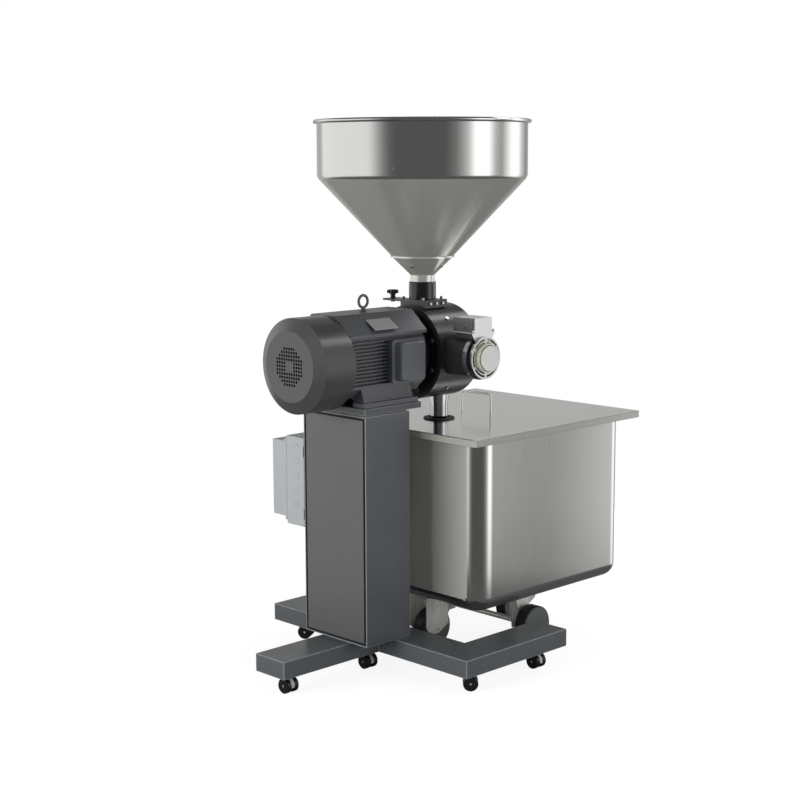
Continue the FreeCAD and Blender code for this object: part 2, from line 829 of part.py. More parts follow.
def adjuster_box():
    """The bright flange of the adjuster with the sheet box above it, its cover, lips and apron."""
    half = sheet_box_x / 2
    wide = half + sheet_lip
    top = sheet_box_z0 + sheet_box_height
    low = sheet_box_z0 - sheet_plate
    body = box(-half, half, sheet_box_y0, sheet_box_y1, sheet_box_z0, top)
    slit_y = sheet_box_y0 - sheet_slit
    cover_y = slit_y - sheet_cover
    neck = box(sheet_slit_depth - half, half - sheet_slit_depth, slit_y, sheet_box_y0, sheet_box_z0,
               top - sheet_slit_depth)
    inset = half - sheet_cover_inset
    cover = box(-inset, inset, cover_y, slit_y, sheet_box_z0, top)
    lip = box(-wide, wide, slit_y, sheet_box_y1 + sheet_lip, low, sheet_box_z0)
    front = [(-wide, sheet_box_z0 + sheet_ear), (wide, sheet_box_z0 + sheet_ear), (wide, low),
             (half - sheet_apron_taper, low - sheet_apron_drop),
             (sheet_apron_taper - half, low - sheet_apron_drop), (-wide, low)]
    apron = prism([(x, cover_y, z) for x, z in front], (0, sheet_plate, 0))
    tie = box(-inset, inset, cover_y, slit_y, low, sheet_box_z0 + 1)
    saddle = box(12 - half, half - 12, flange_front_y + 2, sheet_box_y1, motor_z + 50, low)
    saddle = saddle.cut(cyl_y(adjuster_radius, flange_front_y, sheet_box_y1 + 1, 0, motor_z))
    flange = cyl_y(adjuster_flange_radius, flange_front_y, adjuster_y, 0, motor_z)
    flange = flange.cut(cyl_y(spindle_radius + run_gap, flange_front_y, adjuster_y, 0, motor_z))
    return fused([body, neck, cover, lip, apron, tie, saddle, flange])


# Slide gate

def gate_frame():
    """The gate's two plates and rails, with the latch block on its -Y side."""
    bore = cyl_z(feed_bore, neck_top, gate_top)
    z1 = neck_top + gate_plate
    z2 = z1 + gate_channel
    low = box(-gate_half, gate_half, -gate_half, gate_half, neck_top, z1)
    high = box(-gate_half, gate_half, -gate_half, gate_half, z2, gate_top)
    pieces = [low, high]
    for x in (-gate_half, gate_half - gate_rail):
        pieces.append(box(x, x + gate_rail, -gate_half, gate_half, z1, z2))
    pieces.append(box(-gate_half, gate_half, -gate_half - latch_depth, -gate_half,
                      gate_top - latch_height, gate_top))
    return fused(pieces).cut(bore)


def gate_slide():
    """The sliding blade, closed at rest and drawn out towards +Y."""
    half = gate_half - gate_rail - slide_gap
    z0 = neck_top + gate_plate + slide_gap
    z1 = neck_top + gate_plate + gate_channel - slide_gap
    blade = box(-half, half, blade_back_y, blade_tip_y, z0, z1)
    corners = [edge for edge in blade.Edges
               if abs(edge.CenterOfMass.y - blade_tip_y) < 1 and edge.BoundBox.ZLength > 1]
    return blade.makeFillet(14, corners)


def gate_knob():
    """The star knob on the blade, with the nut under it."""
    z1 = neck_top + gate_plate + gate_channel - slide_gap
    z0 = neck_top + gate_plate + slide_gap
    head_z = z1 + knob_stem_height
    stem = cyl_z(knob_stem_radius, z1, head_z, 0, knob_y)
    core = cyl_z(knob_radius * 0.62, head_z - 3, head_z + knob_head, 0, knob_y)
    lobe = cyl_z(knob_radius * 0.36, head_z, head_z + knob_head - 1, knob_radius * 0.64, knob_y)
    lobes = ring_of(lobe, knob_lobes, (0, knob_y, 0), (0, 0, 1))
    top = fused([stem, core] + lobes)
    nut = cyl_z(knob_nut_radius, z0 - knob_nut, z0, 0, knob_y)
    return group([top, nut])


# Feed pipe and hopper

def feed_pipe():
    """The black pipe between the gate and the hopper's collar."""
    bore = pipe_radius - pipe_wall
    edge = 3
    profile = [(bore, gate_top), (pipe_radius, gate_top), (pipe_radius, pipe_top - edge),
               (pipe_radius - edge, pipe_top), (bore, pipe_top)]
    return spun_z(profile)


def hopper_collar():
    """The conical collar and neck under the hopper."""
    t = steel_sheet
    z_neck = pipe_top + neck_height
    z_lip = collar_top - 6
    profile = [(neck_radius - t, pipe_top), (neck_radius, pipe_top), (neck_radius, z_neck),
               (collar_radius, z_lip), (collar_radius + collar_lip, z_lip),
               (collar_radius + collar_lip, collar_top - seat_gap), (collar_radius - t, collar_top - seat_gap),
               (collar_radius - t, z_lip), (neck_radius - t, z_neck)]
    return spun_z(profile)


def bent_cone(radius, foot_radius, foot_z, shoulder_z, top_z, bend):
    """A solid cone with a straight wall above it and a rounded bend between them."""
    body = spun_z([(0, foot_z), (foot_radius, foot_z), (radius, shoulder_z), (radius, top_z), (0, top_z)])
    shoulder = [edge for edge in body.Edges
                if abs(edge.BoundBox.ZMin - shoulder_z) < 0.01 and abs(edge.BoundBox.ZMax - shoulder_z) < 0.01]
    return body.makeFillet(bend, shoulder)


def hopper():
    """The conical hopper with its straight wall, rounded bend and rolled rim."""
    t = steel_sheet
    foot = collar_radius - t
    outer = bent_cone(hopper_radius, foot + 6, collar_top, hopper_shoulder, hopper_top, hopper_bend)
    inner = bent_cone(hopper_radius - t, foot, collar_top, hopper_shoulder + 1, hopper_top, hopper_bend - t)
    rim = Part.makeTorus(hopper_radius + hopper_rim_wire - t, hopper_rim_wire,
                         FreeCAD.Vector(0, 0, hopper_top), FreeCAD.Vector(0, 0, 1))
    return fused([outer.cut(inner), rim])


def spout():
    """The outlet pipe under the chamber, thicker where it is welded to the drum."""
    top = motor_z - drum_radius / 2
    tube = cyl_z(spout_radius, spout_end_z, top, spout_x)
    collar = cyl_z(spout_radius + spout_collar, spout_collar_z, top, spout_x)
    pipe = fused([tube, collar]).cut(cyl_z(spout_radius - spout_wall, spout_end_z, motor_z, spout_x))
    return pipe.cut(cyl_x(drum_radius, drum_x0, drum_x1 + 40, 0, motor_z))


# Control box

box_y0 = column_y1 + box_standoff
box_y1 = box_y0 + box_base_depth
box_front_y = box_y1 + box_cover_depth
cover_z0 = box_base_z0 + box_cover_inset_z
cover_z1 = box_base_z0 + box_base_height - box_cover_inset_z
button_x = box_x0 + box_width / 2
button_z = (cover_z0 + cover_z1) / 2


def box_base():
    """The control box's base, open towards its cover."""
    outer = box(box_x0, box_x0 + box_width, box_y0, box_y1, box_base_z0, box_base_z0 + box_base_height)
    inner = box(box_x0 + box_wall, box_x0 + box_width - box_wall, box_y0 + box_wall, box_y1,
                box_base_z0 + box_wall, box_base_z0 + box_base_height - box_wall)
    return outer.cut(inner)


def box_cover():
    """The control box's deep cover, with the holes for the two buttons."""
    x0 = box_x0 + box_cover_inset_x
    x1 = box_x0 + box_width - box_cover_inset_x
    outer = box(x0, x1, box_y1, box_front_y, cover_z0, cover_z1)
    inner = box(x0 + box_wall, x1 - box_wall, box_y1, box_front_y - box_wall, cover_z0 + box_wall,
                cover_z1 - box_wall)
    rim = box(box_x0, box_x0 + box_width, box_y1, box_y1 + 10, cover_z0 - 10, cover_z1 + 10)
    shell = fused([outer, rim]).cut(inner)
    for side in (-1, 1):
        z = button_z + side * button_pitch / 2
        shell = shell.cut(cyl_y(button_radius + 2 * run_gap, box_front_y - box_wall, box_front_y,
                                button_x, z))
    return shell


def push_button(side):
    """A push button, pressed towards the column."""
    z = button_z + side * button_pitch / 2
    head = cyl_y(button_radius, box_front_y - box_wall - 2, box_front_y + button_proud, button_x, z)
    stem = cyl_y(button_radius / 2, box_front_y - button_stem, box_front_y - box_wall, button_x, z)
    return fused([head, stem])


# Fixings

def bright_fixings():
    """Bright screws and nuts of the head."""
    pieces = []
    for angle in (-47.0, 47.0):
        head = cyl_y(6, -drum_radius - 4, -drum_radius + 6, drum_screw_x, motor_z)
        head = turned(head, (0, 0, motor_z), (1, 0, 0), angle)
        pieces.append(head.cut(cyl_x(drum_radius, drum_x0, drum_x1, 0, motor_z)))
    slope = math.atan2(collar_radius - neck_radius, collar_top - 6 - pipe_top - neck_height)
    z = collar_top - 34
    r = neck_radius + (z - pipe_top - neck_height) * math.tan(slope)
    for angle in (-165.0, -75.0, 15.0, 105.0):
        head = turned(cyl_x(4.5, r, r + 4, 0, z), (r, 0, z), (0, 1, 0), math.degrees(slope))
        pieces.append(turned(head, (0, 0, 0), (0, 0, 1), angle))
    for angle in (-150.0, -30.0, 90.0):
        head = cyl_x(4.5, hopper_radius, hopper_radius + 3, 0, hopper_shoulder + hopper_bend)
        pieces.append(turned(head, (0, 0, 0), (0, 0, 1), angle))
    for x in (-30.0, 0.0, 30.0):
        pieces.append(cyl_y(5, -gate_half - latch_depth - 5, -gate_half - latch_depth, x, gate_top - 12))
    pieces.append(hexagon(11, (-gate_half + 8, -gate_half + 8, gate_top), 2, 8))
    nut = cyl_z(5, motor_z + adjuster_flange_radius - 1, motor_z + adjuster_flange_radius + 5, 0,
                adjuster_y - adjuster_flange / 2)
    nut = nut.cut(cyl_y(adjuster_flange_radius, flange_front_y, adjuster_y, 0, motor_z))
    for angle in (-135.0, -75.0, 75.0, 135.0):
        pieces.append(turned(nut, (0, 0, motor_z), (0, 1, 0), angle))
    for y, z in ((-240.0, sheet_box_z0 + 18), (-204.0, sheet_box_z0 + 12)):
        pieces.append(cyl_x(4, -sheet_box_x / 2 - 3, -sheet_box_x / 2, y, z))
    ear_y = sheet_box_y0 - sheet_slit - sheet_cover
    for side in (-1, 1):
        pieces.append(cyl_y(3, ear_y - 3, ear_y, side * (sheet_box_x / 2 + sheet_lip / 2), sheet_box_z0 + 3))
    return group(pieces)


def black_fixings():
    """Black bolts of flange, cover and gate, and the control box's wall lugs."""
    pieces = []
    x = drum_x0 + drum_recess - flange_thickness
    bolt = cyl_x(7, x - 8, x, 0, motor_z + flange_bolt_circle)
    pieces += ring_of(bolt, flange_bolt_count, (0, 0, motor_z), (1, 0, 0), 22.5)
    x = drum_x1 + drum_cover
    bolt = hexagon(13, (x, 0, motor_z + cover_bolt_circle - 12), 0, 6)
    pieces += ring_of(bolt, cover_bolt_count, (0, 0, motor_z), (1, 0, 0), 22.5)
    for x, y in ((-1, 1), (1, -1), (1, 1)):
        pieces.append(cyl_z(4, gate_top, gate_top + 9, x * (gate_half - 8), y * (gate_half - 8)))
    for x in (box_x0 - box_lug_proud, box_x0 + box_width + box_lug_proud - box_lug_width):
        for z in (box_base_z0 + 28, box_base_z0 + box_base_height - 28 - box_lug_height):
            pieces.append(box(x, x + box_lug_width, column_y1, box_y0, z, z + box_lug_height))
    return group(pieces)


# Trolley

def rounded_block(length, width, z0, z1, corner, edge):
    """A block with rounded upright corners and a rounded bottom edge."""
    block = box(trolley_x - length / 2, trolley_x + length / 2, -width / 2, width / 2, z0, z1)
    upright = [e for e in block.Edges if e.BoundBox.ZLength > 1]
    block = block.makeFillet(corner, upright)
    bottom = [e for e in block.Edges if e.BoundBox.ZMax < z0 + 0.01]
    return block.makeFillet(edge, bottom)


tub_top = lid_top - lid_sheet - seat_gap
front_swivel_x = swivel_mid_x - swivel_offset
rear_swivel_x = swivel_mid_x + swivel_offset
pad_bottom = tub_bottom - pad_thickness


def tub():
    """The deep-drawn tub with its rim and the pads for the castors."""
    t = tub_sheet
    outer = rounded_block(tub_length, tub_width, tub_bottom, tub_top, tub_corner, tub_edge)
    inner = rounded_block(tub_length - 2 * t, tub_width - 2 * t, tub_bottom + t, tub_top + 1,
                          tub_corner - t, tub_edge - t)
    pieces = [outer]
    half = pad_size / 2
    for x, y in ((front_swivel_x, 0), (rear_swivel_x, 0), (axle_x, -bracket_y), (axle_x, bracket_y)):
        pieces.append(box(x - half, x + half, y - half, y + half, pad_bottom, tub_bottom + 1))
    return fused(pieces).cut(inner)


def lid():
    """The lid's top sheet with the hole under the spout."""
    sheet = box(lid_x - lid_length / 2, lid_x + lid_length / 2, -lid_width / 2, lid_width / 2,
                lid_top - lid_sheet, lid_top)
    return sheet.cut(cyl_z(lid_hole_radius, lid_top - lid_sheet, lid_top, spout_x))


def lid_skirt():
    """The skirt round the lid, folded back at its lower edge."""
    half_x = lid_length / 2
    half_y = lid_width / 2
    t = lid_sheet
    top = lid_top - t
    bottom = lid_top - lid_skirt_depth
    outer = box(lid_x - half_x, lid_x + half_x, -half_y, half_y, bottom, top)
    inner = box(lid_x - half_x + t, lid_x + half_x - t, t - half_y, half_y - t, bottom + t, top)
    hem = t + lid_hem
    mouth = box(lid_x - half_x + hem, lid_x + half_x - hem, hem - half_y, half_y - hem, bottom, bottom + t)
    return outer.cut(inner).cut(mouth)


def lid_grip():
    """The wire grip welded on the lid."""
    points = [(lid_x, -grip_half, lid_top), (lid_x, -grip_half, lid_top + grip_height),
              (lid_x, grip_half, lid_top + grip_height), (lid_x, grip_half, lid_top)]
    return wire_sweep(grip_wire, points, grip_bend)


def push_bar():
    """The push bar on the tub's +X wall."""
    wall = trolley_x + tub_length / 2
    x = wall + bar_standoff
    bend = bar_standoff - 4
    half = min(bar_half, tub_width / 2 - tub_corner + bend)
    points = [(wall, -half, bar_z), (x, -half, bar_z), (x, half, bar_z), (wall, half, bar_z)]
    return wire_sweep(bar_wire, points, bend)


def spout_ring():
    """The rubber ring round the lid's hole."""
    profile = [(lid_hole_radius, lid_top), (ring_radius, lid_top), (ring_radius, lid_top + ring_height - 2),
               (ring_radius - 2, lid_top + ring_height), (lid_hole_radius, lid_top + ring_height)]
    return spun_z(profile, spout_x)


def axle_rod():
    """The rod that carries both fixed wheels, with a collar beside each."""
    reach = fixed_wheel_y + roller_width / 2 - axle_cap - seat_gap
    rod = cyl_y(axle_radius, -reach, reach, axle_x, roller_radius)
    inner = fixed_wheel_y - roller_width / 2 - seat_gap
    outer_cheek = bracket_y + bracket_half + seat_gap
    collars = [cyl_y(axle_collar, outer_cheek, inner, axle_x, roller_radius),
               cyl_y(axle_collar, -inner, -outer_cheek, axle_x, roller_radius)]
    return fused([rod] + collars)


def fork_cheek(x, y, side, top):
    """One folded cheek beside a wheel, with flared wings and cut-off lower corners."""
    near = y + side * (roller_width / 2 + fork_gap)
    far = near + side * fork_sheet
    flare = side * fork_flare
    outline = [(-fork_half, near + flare), (-fork_web_half, near), (fork_web_half, near),
               (fork_half, near + flare), (fork_half, far + flare), (fork_web_half, far),
               (-fork_web_half, far), (-fork_half, far + flare)]
    cheek = prism([(x + px, py, fork_bottom) for px, py in outline], (0, 0, top - fork_bottom))
    reach = fork_half - fork_web_half + 1
    for end in (-1, 1):
        corner = [(x + end * (fork_half + 1), fork_bottom - 1), (x + end * fork_web_half, fork_bottom - 1),
                  (x + end * fork_web_half, fork_bottom), (x + end * (fork_web_half + reach),
                                                          fork_bottom + fork_corner)]
        cutter = prism([(px, y + side * 80, pz) for px, pz in corner], (0, -side * 60, 0))
        cheek = cheek.cut(cutter)
    return cheek


def fixed_forks():
    """The two brackets under the tub that hold the axle rod."""
    hole = cyl_y(axle_radius + run_gap, -2 * fixed_wheel_y, 2 * fixed_wheel_y, axle_x, roller_radius)
    brackets = []
    for side in (-1, 1):
        y = side * bracket_y
        plate = box(axle_x - bracket_top_half, axle_x + bracket_top_half, y - bracket_half,
                    y + bracket_half, pad_bottom - fork_plate, pad_bottom)
        pieces = [plate]
        outline = [(-bracket_top_half, pad_bottom - 1), (bracket_top_half, pad_bottom - 1),
                   (bracket_foot_half, bracket_bottom), (-bracket_foot_half, bracket_bottom)]
        for near in (y - bracket_half, y + bracket_half - fork_sheet):
            pieces.append(prism([(axle_x + px, near, pz) for px, pz in outline], (0, fork_sheet, 0)))
        brackets.append(fused(pieces).cut(hole))
    return group(brackets)


def swivel_fork(x, side):
    """A swivelling fork with its race and wheel pin; its wheel trails towards side times X."""
    race_top = pad_bottom - seat_gap
    top = race_top - swivel_race
    race = cyl_z(swivel_race_radius, top - 1, race_top, x)
    middle = x + side * fork_lead
    plate_half = roller_width / 2 + fork_gap + fork_sheet + fork_flare
    plate = box(middle - fork_half, middle + fork_half, -plate_half, plate_half, top - fork_plate, top)
    cheeks = [fork_cheek(middle, 0, hand, top - 1) for hand in (-1, 1)]
    reach = roller_width / 2 + fork_gap + fork_sheet + 5
    pin = cyl_y(swivel_pin_radius, -reach, reach, x + side * swivel_trail, roller_radius)
    return fused([race, plate, pin] + cheeks)


def roller(x, y, bore, blind=0):
    """A trolley wheel with a rounded tread; blind is the side on which a cap closes its bore."""
    half = roller_width / 2
    edge = roller_edge
    profile = [(0, -half), (roller_radius - edge, -half), (roller_radius, edge - half),
               (roller_radius, half - edge), (roller_radius - edge, half), (0, half)]
    points = [(x + r, y + across, roller_radius) for r, across in profile]
    wheel = revolve(points, (x, 0, roller_radius), (0, 1, 0))
    low = y - half + (axle_cap if blind < 0 else -1)
    high = y + half - (axle_cap if blind > 0 else -1)
    return wheel.cut(cyl_y(bore, low, high, x, roller_radius))


def nodes():
    """Every node's name and shape."""
    parts = {
        "base_frame": base_frame(),
        "column_shell": column_shell(),
        "column_panel": column_panel(),
        "bed_plate": bed_plate(),
        "motor_housing": motor_housing(),
        "drive_flange": drive_flange(),
        "fan_cowl": fan_cowl(),
        "fan": fan(),
        "motor_shaft": motor_shaft(),
        "terminal_box": terminal_box(),
        "lifting_eye": lifting_eye(),
        "chamber": chamber(),
        "chamber_cover": chamber_cover(),
        "burr_carrier": burr_carrier(),
        "fixed_burr": fixed_burr(),
        "rotating_burr": rotating_burr(),
        "rotor": rotor(),
        "adjuster_housing": adjuster_housing(),
        "adjuster_spindle": adjuster_spindle(),
        "handwheel": handwheel(),
        "adjuster_box": adjuster_box(),
        "gate_frame": gate_frame(),
        "gate_slide": gate_slide(),
        "gate_knob": gate_knob(),
        "feed_pipe": feed_pipe(),
        "hopper_collar": hopper_collar(),
        "hopper": hopper(),
        "spout": spout(),
        "box_base": box_base(),
        "box_cover": box_cover(),
        "start_button": push_button(1),
        "stop_button": push_button(-1),
        "bright_fixings": bright_fixings(),
        "black_fixings": black_fixings(),
        "tub": tub(),
        "lid": lid(),
        "lid_skirt": lid_skirt(),
        "lid_grip": lid_grip(),
        "push_bar": push_bar(),
        "spout_ring": spout_ring(),
        "axle_rod": axle_rod(),
        "fixed_forks": fixed_forks(),
        "right_roller": roller(axle_x, -fixed_wheel_y, axle_radius + run_gap, -1),
        "left_roller": roller(axle_x, fixed_wheel_y, axle_radius + run_gap, 1),
        "front_fork": swivel_fork(front_swivel_x, 1),
        "rear_fork": swivel_fork(rear_swivel_x, -1),
        "front_roller": roller(front_swivel_x + swivel_trail, 0, swivel_pin_radius + run_gap),
        "rear_roller": roller(rear_swivel_x - swivel_trail, 0, swivel_pin_radius + run_gap),
    }
    for name, x, y, heading in castor_places():
        parts[name + "_fork"] = castor_fork(x, y, heading)
        parts[name + "_wheels"] = castor_wheels(x, y, heading)
    return parts


os.makedirs("parts", exist_ok=True)
for node, shape in nodes().items():
    shape.exportStep("parts/" + node + ".step")
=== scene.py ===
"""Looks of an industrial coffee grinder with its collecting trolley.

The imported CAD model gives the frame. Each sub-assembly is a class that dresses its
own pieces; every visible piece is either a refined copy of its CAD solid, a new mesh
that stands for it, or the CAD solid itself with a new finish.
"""

from __future__ import annotations

import json
import logging
import math
from dataclasses import dataclass, field
from enum import Enum
from typing import Callable, ClassVar, Iterable, Sequence

import bmesh
import bpy
from mathutils import Matrix, Vector

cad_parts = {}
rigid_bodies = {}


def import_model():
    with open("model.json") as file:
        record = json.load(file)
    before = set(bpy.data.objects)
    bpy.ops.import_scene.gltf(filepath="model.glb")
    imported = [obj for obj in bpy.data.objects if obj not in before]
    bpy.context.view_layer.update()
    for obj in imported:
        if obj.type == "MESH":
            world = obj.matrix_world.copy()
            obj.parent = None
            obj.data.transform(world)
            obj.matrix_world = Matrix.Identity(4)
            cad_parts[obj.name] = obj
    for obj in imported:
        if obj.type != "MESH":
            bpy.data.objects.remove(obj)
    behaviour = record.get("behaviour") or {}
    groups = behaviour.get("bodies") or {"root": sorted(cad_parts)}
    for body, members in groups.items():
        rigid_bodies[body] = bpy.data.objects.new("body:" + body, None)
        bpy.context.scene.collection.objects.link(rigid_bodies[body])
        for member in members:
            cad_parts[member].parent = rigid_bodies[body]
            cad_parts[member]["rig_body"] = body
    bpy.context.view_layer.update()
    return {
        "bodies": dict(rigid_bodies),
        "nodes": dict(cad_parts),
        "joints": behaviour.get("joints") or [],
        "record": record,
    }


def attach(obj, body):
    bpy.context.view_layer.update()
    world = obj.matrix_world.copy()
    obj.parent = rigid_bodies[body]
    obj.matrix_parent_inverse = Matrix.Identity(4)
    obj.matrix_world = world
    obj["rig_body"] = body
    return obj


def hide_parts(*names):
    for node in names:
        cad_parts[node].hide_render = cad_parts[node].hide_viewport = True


log = logging.getLogger("coffee_grinder")

MM = 0.001
# Closer than this, in metres, two points of a turned mesh are one.
SEAM = 1e-7


class Axis(Enum):
    """A direction of the row frame."""

    X = (1.0, 0.0, 0.0)
    Y = (0.0, 1.0, 0.0)
    Z = (0.0, 0.0, 1.0)

    @property
    def vector(self) -> Vector:
        """The direction as a unit vector."""
        return Vector(self.value)

    @property
    def across(self) -> Vector:
        """A direction square to this one, where a lathe profile starts."""
        return Vector((0.0, 0.0, 1.0)) if self is not Axis.Z else Vector((1.0, 0.0, 0.0))


class Grain(Enum):
    """How the brushing runs over a steel surface, as a stretch of its pattern."""

    ALONG_X = (0.02, 1.0, 1.0)
    ALONG_Y = (1.0, 0.02, 1.0)
    ALONG_Z = (1.0, 1.0, 0.02)
    ROUND_Z = (0.04, 0.04, 1.0)


def linear(code: str) -> tuple[float, float, float, float]:
    """Turn an sRGB hex colour to linear light.

    Args:
        code: The colour, such as "#8f8f8f".

    Returns:
        Red, green, blue and alpha.
    """
    parts = [int(code[i:i + 2], 16) / 255.0 for i in (1, 3, 5)]
    light = [c / 12.92 if c <= 0.04045 else ((c + 0.055) / 1.055) ** 2.4 for c in parts]
    return (light[0], light[1], light[2], 1.0)


def add_node(tree: bpy.types.NodeTree, kind: str, settings: dict | None = None,
             values: dict | None = None, links: dict | None = None) -> bpy.types.Node:
    """Add one shader node.

    Args:
        tree: The node tree.
        kind: The node's type name.
        settings: Attributes of the node.
        values: Input values by socket name or index.
        links: Output sockets to connect, by input socket name or index.

    Returns:
        The new node.
    """
    node = tree.nodes.new(kind)
    for key, value in (settings or {}).items():
        setattr(node, key, value)
    for key, value in (values or {}).items():
        node.inputs[key].default_value = value
    for key, socket in (links or {}).items():
        tree.links.new(socket, node.inputs[key])
    return node


@dataclass(frozen=True)
class Finish:
    """What all finishes share: a name, a colour and how rough the surface is."""

    name: str
    colour: str
    roughness: float
    # How strong each finer octave of a pattern is beside the one before.
    fineness: ClassVar[float] = 0.55

    def start(self) -> tuple[bpy.types.Material, bpy.types.NodeTree, bpy.types.Node]:
        """Make an empty material with its shader.

        Returns:
            The material, its node tree and the Principled shader.
        """
        material = bpy.data.materials.new(self.name)
        material.use_nodes = True
        tree = material.node_tree
        tree.nodes.clear()
        shader = add_node(tree, "ShaderNodeBsdfPrincipled", values={
            "Base Color": linear(self.colour), "Roughness": self.roughness})
        add_node(tree, "ShaderNodeOutputMaterial", links={"Surface": shader.outputs["BSDF"]})
        return material, tree, shader

    def place(self, tree: bpy.types.NodeTree,
              stretch: tuple[float, float, float] = (1.0, 1.0, 1.0)) -> bpy.types.NodeSocket:
        """Give the pattern space of a piece.

        Args:
            tree: The node tree.
            stretch: How much the pattern is squeezed along each axis.

        Returns:
            The socket with the pattern's coordinates.
        """
        where = add_node(tree, "ShaderNodeTexCoord")
        mapping = add_node(tree, "ShaderNodeMapping", values={"Scale": stretch},
                           links={"Vector": where.outputs["Object"]})
        return mapping.outputs["Vector"]

    def mottle(self, tree: bpy.types.NodeTree, space: bpy.types.NodeSocket, size_mm: float,
               detail: float, low: float, high: float) -> bpy.types.NodeSocket:
        """Give a cloudy pattern whose blotches have a real size.

        Args:
            tree: The node tree.
            space: The pattern's coordinates.
            size_mm: Size of one blotch.
            detail: Octaves of finer blotches.
            low: The value where the pattern is low.
            high: The value where the pattern is high.

        Returns:
            The pattern's value.
        """
        cloud = add_node(tree, "ShaderNodeTexNoise",
                         values={"Scale": 1.0 / (size_mm * MM), "Detail": detail,
                                 "Roughness": self.fineness},
                         links={"Vector": space})
        spread = add_node(tree, "ShaderNodeMapRange",
                          values={"From Min": 0.3, "From Max": 0.7, "To Min": low, "To Max": high},
                          links={"Value": cloud.outputs["Fac"]})
        return spread.outputs["Result"]

    def relief(self, tree: bpy.types.NodeTree, shader: bpy.types.Node,
               space: bpy.types.NodeSocket, size_mm: float, detail: float,
               depth_mm: float) -> None:
        """Raise the surface by a pattern of a real size and depth.

        Args:
            tree: The node tree.
            shader: The shader that gets the relief.
            space: The pattern's coordinates.
            size_mm: Size of one bump.
            detail: Octaves of finer bumps.
            depth_mm: Height of the bumps.
        """
        bumps = add_node(tree, "ShaderNodeTexNoise",
                         values={"Scale": 1.0 / (size_mm * MM), "Detail": detail,
                                 "Roughness": self.fineness},
                         links={"Vector": space})
        raised = add_node(tree, "ShaderNodeBump",
                          values={"Strength": 1.0, "Distance": depth_mm * MM},
                          links={"Height": bumps.outputs["Fac"]})
        tree.links.new(raised.outputs["Normal"], shader.inputs["Normal"])

    def tint(self, tree: bpy.types.NodeTree, shader: bpy.types.Node, fac: bpy.types.NodeSocket,
             other: str) -> None:
        """Mix the base colour towards another one where the pattern is high.

        Args:
            tree: The node tree.
            shader: The shader that gets the colour.
            fac: How much of the other colour shows.
            other: The other colour.
        """
        mix = add_node(tree, "ShaderNodeMix", {"data_type": "RGBA"},
                       {6: linear(self.colour), 7: linear(other)}, {0: fac})
        tree.links.new(mix.outputs[2], shader.inputs["Base Color"])

    def make(self) -> bpy.types.Material:
        """Build the material."""
        return self.start()[0]


@dataclass(frozen=True)
class PowderCoat(Finish):
    """Powder-coated steel: a satin film with a faint orange peel and a thin veil of dust."""

    # Real orange peel is 1 to 2 mm wide; drawn at 7 mm, the finest that a render shows.
    peel_mm: float = 7.0
    peel_depth_mm: float = 0.004
    dust: str = "#6b6d70"
    veil: float = 0.16
    cloud_mm: float = 160.0
    speck_mm: float = 14.0

    def make(self) -> bpy.types.Material:
        """Build the material: peel in the bump, cloudy dust in colour and gloss."""
        material, tree, shader = self.start()
        space = self.place(tree)
        amount = add_node(tree, "ShaderNodeMath", {"operation": "MULTIPLY"},
                          links={0: self.mottle(tree, space, self.cloud_mm, 4.0, 0.0, self.veil),
                                 1: self.mottle(tree, space, self.speck_mm, 2.0, 0.4, 1.0)})
        self.tint(tree, shader, amount.outputs[0], self.dust)
        gloss = self.mottle(tree, space, self.cloud_mm, 4.0, self.roughness - 0.02,
                            self.roughness + 0.04)
        tree.links.new(gloss, shader.inputs["Roughness"])
        self.relief(tree, shader, space, self.peel_mm, 1.0, self.peel_depth_mm)
        return material


@dataclass(frozen=True)
class CastPaint(Finish):
    """Painted casting: sand texture under the paint, with painted shade where its relief is low.
    """

    # Moulding sand leaves grains of 1 to 2 mm; drawn at 8 mm so that they show.
    grit_mm: float = 8.0
    depth_mm: float = 0.05
    # Colour and share of the painted shade in the hollows of the sand relief.
    painted_pit_shade: str = "#101113"
    painted_pit_shade_share: float = 0.26
    cloud_mm: float = 45.0

    def make(self) -> bpy.types.Material:
        """Build the material: grit in the bump, and painted shade in the colour where the grit is
        low.
        """
        material, tree, shader = self.start()
        space = self.place(tree)
        # The same grit darkens the colour in its hollows: painted shade.
        pit_shade_mask = self.mottle(tree, space, self.grit_mm, 3.0, self.painted_pit_shade_share, 0.0)
        self.tint(tree, shader, pit_shade_mask, self.painted_pit_shade)
        gloss = self.mottle(tree, space, self.cloud_mm, 3.0, self.roughness - 0.03,
                            self.roughness + 0.06)
        tree.links.new(gloss, shader.inputs["Roughness"])
        self.relief(tree, shader, space, self.grit_mm, 3.0, self.depth_mm)
        return material


